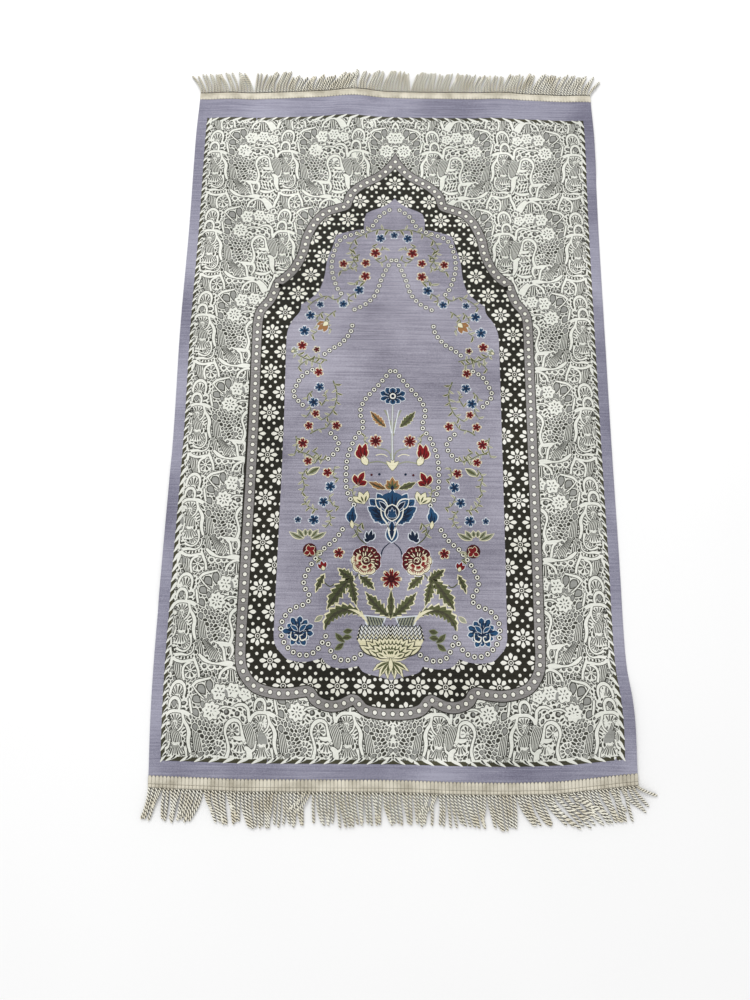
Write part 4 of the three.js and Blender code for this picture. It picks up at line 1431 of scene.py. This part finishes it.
# cords that lie across their neighbours: how far the end is thrown, and how far out it reaches
NEAR_STRAYS = {
    3: (-5, 0.7), 6: (5, 1), 8: (-5, 0.9), 15: (2, 0.8), 21: (10, 0.9), 33: (-4, 0.9),
    42: (-26, 0.62), 43: (-22, 0.7), 50: (-3, 1), 57: (-5, 0.9), 60: (7, 0.96), 68: (7, 1),
    75: (-16, 0.8), 77: (-12, 0.66), 90: (-8, 0.9), 102: (-9, 0.9), 109: (8, 0.8), 111: (12, 0.7),
    113: (22, 0.64), 115: (18, 0.72), 118: (-14, 0.9), 121: (12, 1), 124: (10, 0.7),
    127: (14, 0.6), 129: (12, 0.8), 130: (10, 0.62), 131: (14, 0.34),
}
FAR_STRAYS = {
    0: (-12, 0.8), 1: (-6, 0.9), 9: (-6, 1), 13: (8, 0.9), 24: (-7, 1), 34: (12, 0.9),
    37: (-8, 0.9), 43: (12, 1), 52: (-6, 1.1), 61: (9, 1), 70: (-7, 0.9), 84: (8, 0.9),
    97: (-6, 1), 108: (9, 1), 119: (-8, 0.9), 128: (-6, 1), 131: (7, 0.8),
}


def corded(name, deep, pale, shadow):
    """Cotton cord: pale on its plies, with painted shade where an attribute marks the grooves."""
    finish = Finish(name, 0.88, sheen=0.2)
    valley = finish.node("ShaderNodeAttribute", {"attribute_name": "valley"}, {}, "Fac")
    fibre = finish.noise(700, (1, 1, 1), detail=3, roughness=0.7)
    patch = finish.noise(45, detail=2)
    shade = (fibre - 0.5) * 0.8 + (patch - 0.5) * 1.5 + 0.62
    cotton = finish.blend(shade.within(0, 1), deep, pale)
    finish.colour(finish.blend((valley * 1.3 - 0.12).within(0, 1), cotton, shadow))
    finish.relief(fibre, 0.0003, 0.6)
    return finish.material


# The third dye of each is the painted shade.
cord_material = corded("cream cord", dye(228, 218, 192), dye(255, 253, 240), dye(34, 26, 15))
tape_material = corded("cream tape", dye(168, 161, 143), dye(226, 220, 203), dye(62, 55, 43))


def tape_body(outwards, width, rib_shade):
    """The tape's points, faces and how much shade is painted on each point."""
    columns, rows = CORDS_PER_END * RIB_STEPS + 1, len(TAPE_ROWS)
    across = np.linspace(-CLOTH_WIDTH / 2, CLOTH_WIDTH / 2, columns)
    rib = np.abs(np.sin(math.pi * (across + CLOTH_WIDTH / 2) / CORD_PITCH))
    flat, rise, valley = [], [], []
    for row, (place, share, dip, dark) in enumerate(TAPE_ROWS):
        place *= width / NEAR_TAPE
        inner = row < SEAM_ROW
        scallop = -SCALLOP * rib**0.6 * max(0, 1 - place / SCALLOP_REACH)
        along = outwards * (CLOTH_LENGTH / 2 + TAPE_GAP + place + scallop)
        flat.append(across + 1j * along)
        height = TAPE_THICKNESS * share * (1 - dip * DIP_DEPTH * (1 - rib**0.8))
        rise.append(height + SEAM_SWELL * (row > 0 and inner))
        # painted shade in the dips between the ribs, added to the row's own painted shade
        line = (1 - rib) ** 2.2 * (0.2 + 0.7 * dip) * rib_shade * (0.75 if inner else 0.9)
        valley.append(line + dark * (rib_shade if row == SEAM_ROW else 1))
    flat, rise = [*flat, flat[0], flat[-1]], [*rise, 0 * rib, 0 * rib]
    points = lie(np.concatenate(flat), np.concatenate(rise))
    quads = grid_faces(columns, rows, turned=outwards < 0)
    # the two walls and the underside
    top_in, top_out, low_in, low_out = (row * columns for row in (0, rows - 1, rows, rows + 1))
    corners = ((low_in, top_in), (top_out, low_out), (low_out, low_in))
    sides = [(a + i, a + i + 1, b + i + 1, b + i) for i in range(columns - 1) for a, b in corners]
    for end in (0, columns - 1):
        rim = [row * columns + end for row in range(rows)] + [low_out + end, low_in + end]
        sides.append(tuple(rim if end == 0 else rim[::-1]))
    if outwards < 0:
        sides = [side[::-1] for side in sides]
    return points, quads + sides, np.concatenate([*valley, 0 * rib, 0 * rib])


def cord_body(root, outwards, lean, length, stray, dice):
    """One cord's points, faces and painted shade: two plies laid round each other."""
    share = np.linspace(0, 1, CORD_STATIONS)
    throw, out = stray or (0, 1)
    swing = lean * share**2 * (1.6 - 0.6 * share) + throw * share**1.4
    sway = dice.uniform(-SWAY, SWAY) * np.sin(share * math.pi * 1.3)
    sway = sway + dice.uniform(-1, 1) * np.sin(share * 5)
    x = root[0] + swing + sway * share
    y = root[1] + outwards * length * share * out
    pile = dice.uniform(0, PILE) + (STRAY_PILE if stray else 0)
    settle = (1 - np.minimum(share / CORD_FLOOR_SHARE, 1)) ** 1.5
    arch = np.sin(math.pi * np.minimum(share * 1.1, 1))
    z = root[2] * settle + CORD_RADIUS * (1 + CORD_PLY) + pile * arch
    centre = np.stack([x, y, z], axis=-1)
    ahead = np.gradient(centre, axis=0)
    ahead /= np.linalg.norm(ahead, axis=1)[:, None]
    aside = np.cross(ahead, (0, 0, 1))
    aside /= np.linalg.norm(aside, axis=1)[:, None]
    upward = np.cross(aside, ahead)
    around = 2 * math.pi * np.arange(CORD_SIDES) / CORD_SIDES
    far = share * length
    taper = np.interp(share, [0, 0.1, 0.6, 1], [0.92, 1, 1, 0.92])
    taper = taper * np.where(share > 0.97, 0.8, 1.0)
    turned = 2 * math.pi * far[:, None] / CORD_TWIST + dice.uniform(0, 6.28) + around[None, :]
    radius = CORD_RADIUS * (1 + CORD_PLY * np.cos(2 * around))[None, :] * taper[:, None]
    cosine, sine = np.cos(turned)[..., None], np.sin(turned)[..., None]
    ring = aside[:, None, :] * cosine + upward[:, None, :] * sine
    points = (centre[:, None, :] + radius[..., None] * ring).reshape(-1, 3)
    # painted shade: dark in the groove between the plies and on the flanks that face down
    groove_shade = (0.5 - 0.5 * np.cos(2 * around))[None, :] ** 1.7
    flank_shade = np.clip(0.75 - np.sin(turned), 0, 1) ** 1.5
    valley = np.clip(groove_shade + 0.5 * flank_shade, 0, 1).ravel()
    a = np.arange((CORD_STATIONS - 1) * CORD_SIDES)
    b = a // CORD_SIDES * CORD_SIDES + (a + 1) % CORD_SIDES
    faces = np.stack([a, b, b + CORD_SIDES, a + CORD_SIDES], axis=-1)[:, ::-1].tolist()
    faces.append(tuple(range(CORD_SIDES)))
    last = (CORD_STATIONS - 1) * CORD_SIDES
    faces.append(tuple(last + i for i in range(CORD_SIDES))[::-1])
    return points, faces, valley


def fringe(name, outwards, width, rib_shade, locks, strays, seed):
    """One end's tape and cords, as one piece."""
    dice = random.Random(seed)
    points, faces, valley = tape_body(outwards, width, rib_shade)
    tape_faces = len(faces)
    points, valley, count = [points], [valley], len(points)
    root_along = outwards * (CLOTH_LENGTH / 2 + TAPE_GAP + width - CORD_ROOT_INSET)
    index = 0
    for cords, first, last, length in locks:
        for i in range(cords):
            across = -CLOTH_WIDTH / 2 + CORD_PITCH * (index + 0.5)
            root = lie(np.array([across + 1j * root_along]), 0.0)[0] / MM
            lean = first + (last - first) * (i / (cords - 1)) + dice.uniform(
                -LEAN_SHAKE, LEAN_SHAKE
            )
            reach = length + dice.uniform(*LENGTH_SHAKE)
            stray = strays.get(index)
            cord, sides, cord_shade = cord_body(root, outwards, lean, reach, stray, dice)
            points.append(cord * MM)
            faces.extend([[count + v for v in side] for side in sides])
            valley.append(cord_shade)
            count += len(cord)
            index += 1
    piece = piece_of(name, np.concatenate(points), faces, [tape_material, cord_material])
    of_cord = [0] * tape_faces + [1] * (len(faces) - tape_faces)
    piece.data.polygons.foreach_set("material_index", of_cord)
    marks = piece.data.attributes.new("valley", "FLOAT", "POINT")
    marks.data.foreach_set("value", np.concatenate(valley))
    edit_whole(piece, bpy.ops.mesh.normals_make_consistent, inside=False)
    bpy.ops.object.shade_smooth_by_angle(angle=math.radians(75))
    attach(piece, "root")
    return piece


near_trim = fringe(
    "near_fringe_trim", -1, NEAR_TAPE, NEAR_RIB_SHADE, NEAR_LOCKS, NEAR_STRAYS, NEAR_SEED
)
far_trim = fringe("far_fringe_trim", 1, FAR_TAPE, FAR_RIB_SHADE, FAR_LOCKS, FAR_STRAYS, FAR_SEED)
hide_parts("near_fringe")
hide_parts("far_fringe")


# ---- The floor, the light and the camera ----
# A plain pale floor under soft studio light, with the camera over the near end of the rug.
FLOOR_SIZE = 8
WORLD_STRENGTH, SOFTBOX_ENERGY = 0.8, 34
SOFTBOX_PLACE, SOFTBOX_SIZE = (-0.9, 1.6, 2.4), (1.6, 1.2)
bpy.ops.mesh.primitive_plane_add(size=FLOOR_SIZE)
floor = bpy.context.object
floor.name = "floor"
floor_finish = Finish("pale floor", 0.8)
pale = floor_finish.blend(floor_finish.noise(3), dye(250, 250, 250), dye(254, 254, 254))
floor_finish.colour(pale)
floor.data.materials.append(floor_finish.material)

world = bpy.data.worlds.new("studio")
bpy.context.scene.world = world
world.use_nodes = True
world.node_tree.nodes["Background"].inputs["Color"].default_value = (1, 1, 1, 1)
world.node_tree.nodes["Background"].inputs["Strength"].default_value = WORLD_STRENGTH
bpy.context.scene.view_settings.view_transform = "Standard"

bpy.ops.object.light_add(type="AREA", location=SOFTBOX_PLACE)
softbox = bpy.context.object
softbox.name = "softbox"
softbox.data.shape = "RECTANGLE"
softbox.data.size, softbox.data.size_y = SOFTBOX_SIZE
softbox.data.energy = SOFTBOX_ENERGY
softbox.rotation_euler = (Vector((0, 0, 0)) - softbox.location).to_track_quat("-Z", "Y").to_euler()

CAMERA_LENS = 26
CAMERA_PLACE = Vector((-0.03745, -0.40771, 1.06975))
CAMERA_PITCH, CAMERA_ROLL, CAMERA_YAW = (math.radians(a) for a in (76.944, -2.287, 1.7625))
heading = Vector((math.sin(CAMERA_YAW), math.cos(CAMERA_YAW), 0))
ahead = math.cos(CAMERA_PITCH) * heading - math.sin(CAMERA_PITCH) * Vector((0, 0, 1))
level_right = Vector((math.cos(CAMERA_YAW), -math.sin(CAMERA_YAW), 0))
level_down = ahead.cross(level_right)
right = math.cos(CAMERA_ROLL) * level_right + math.sin(CAMERA_ROLL) * level_down
down = -math.sin(CAMERA_ROLL) * level_right + math.cos(CAMERA_ROLL) * level_down
bpy.ops.object.camera_add()
camera = bpy.context.object
camera.name = "camera"
camera.data.lens = CAMERA_LENS
camera.data.clip_start = 0.01
turn = Matrix((right, -down, -ahead)).transposed().to_4x4()
camera.matrix_world = Matrix.Translation(CAMERA_PLACE) @ turn
bpy.context.scene.camera = camera
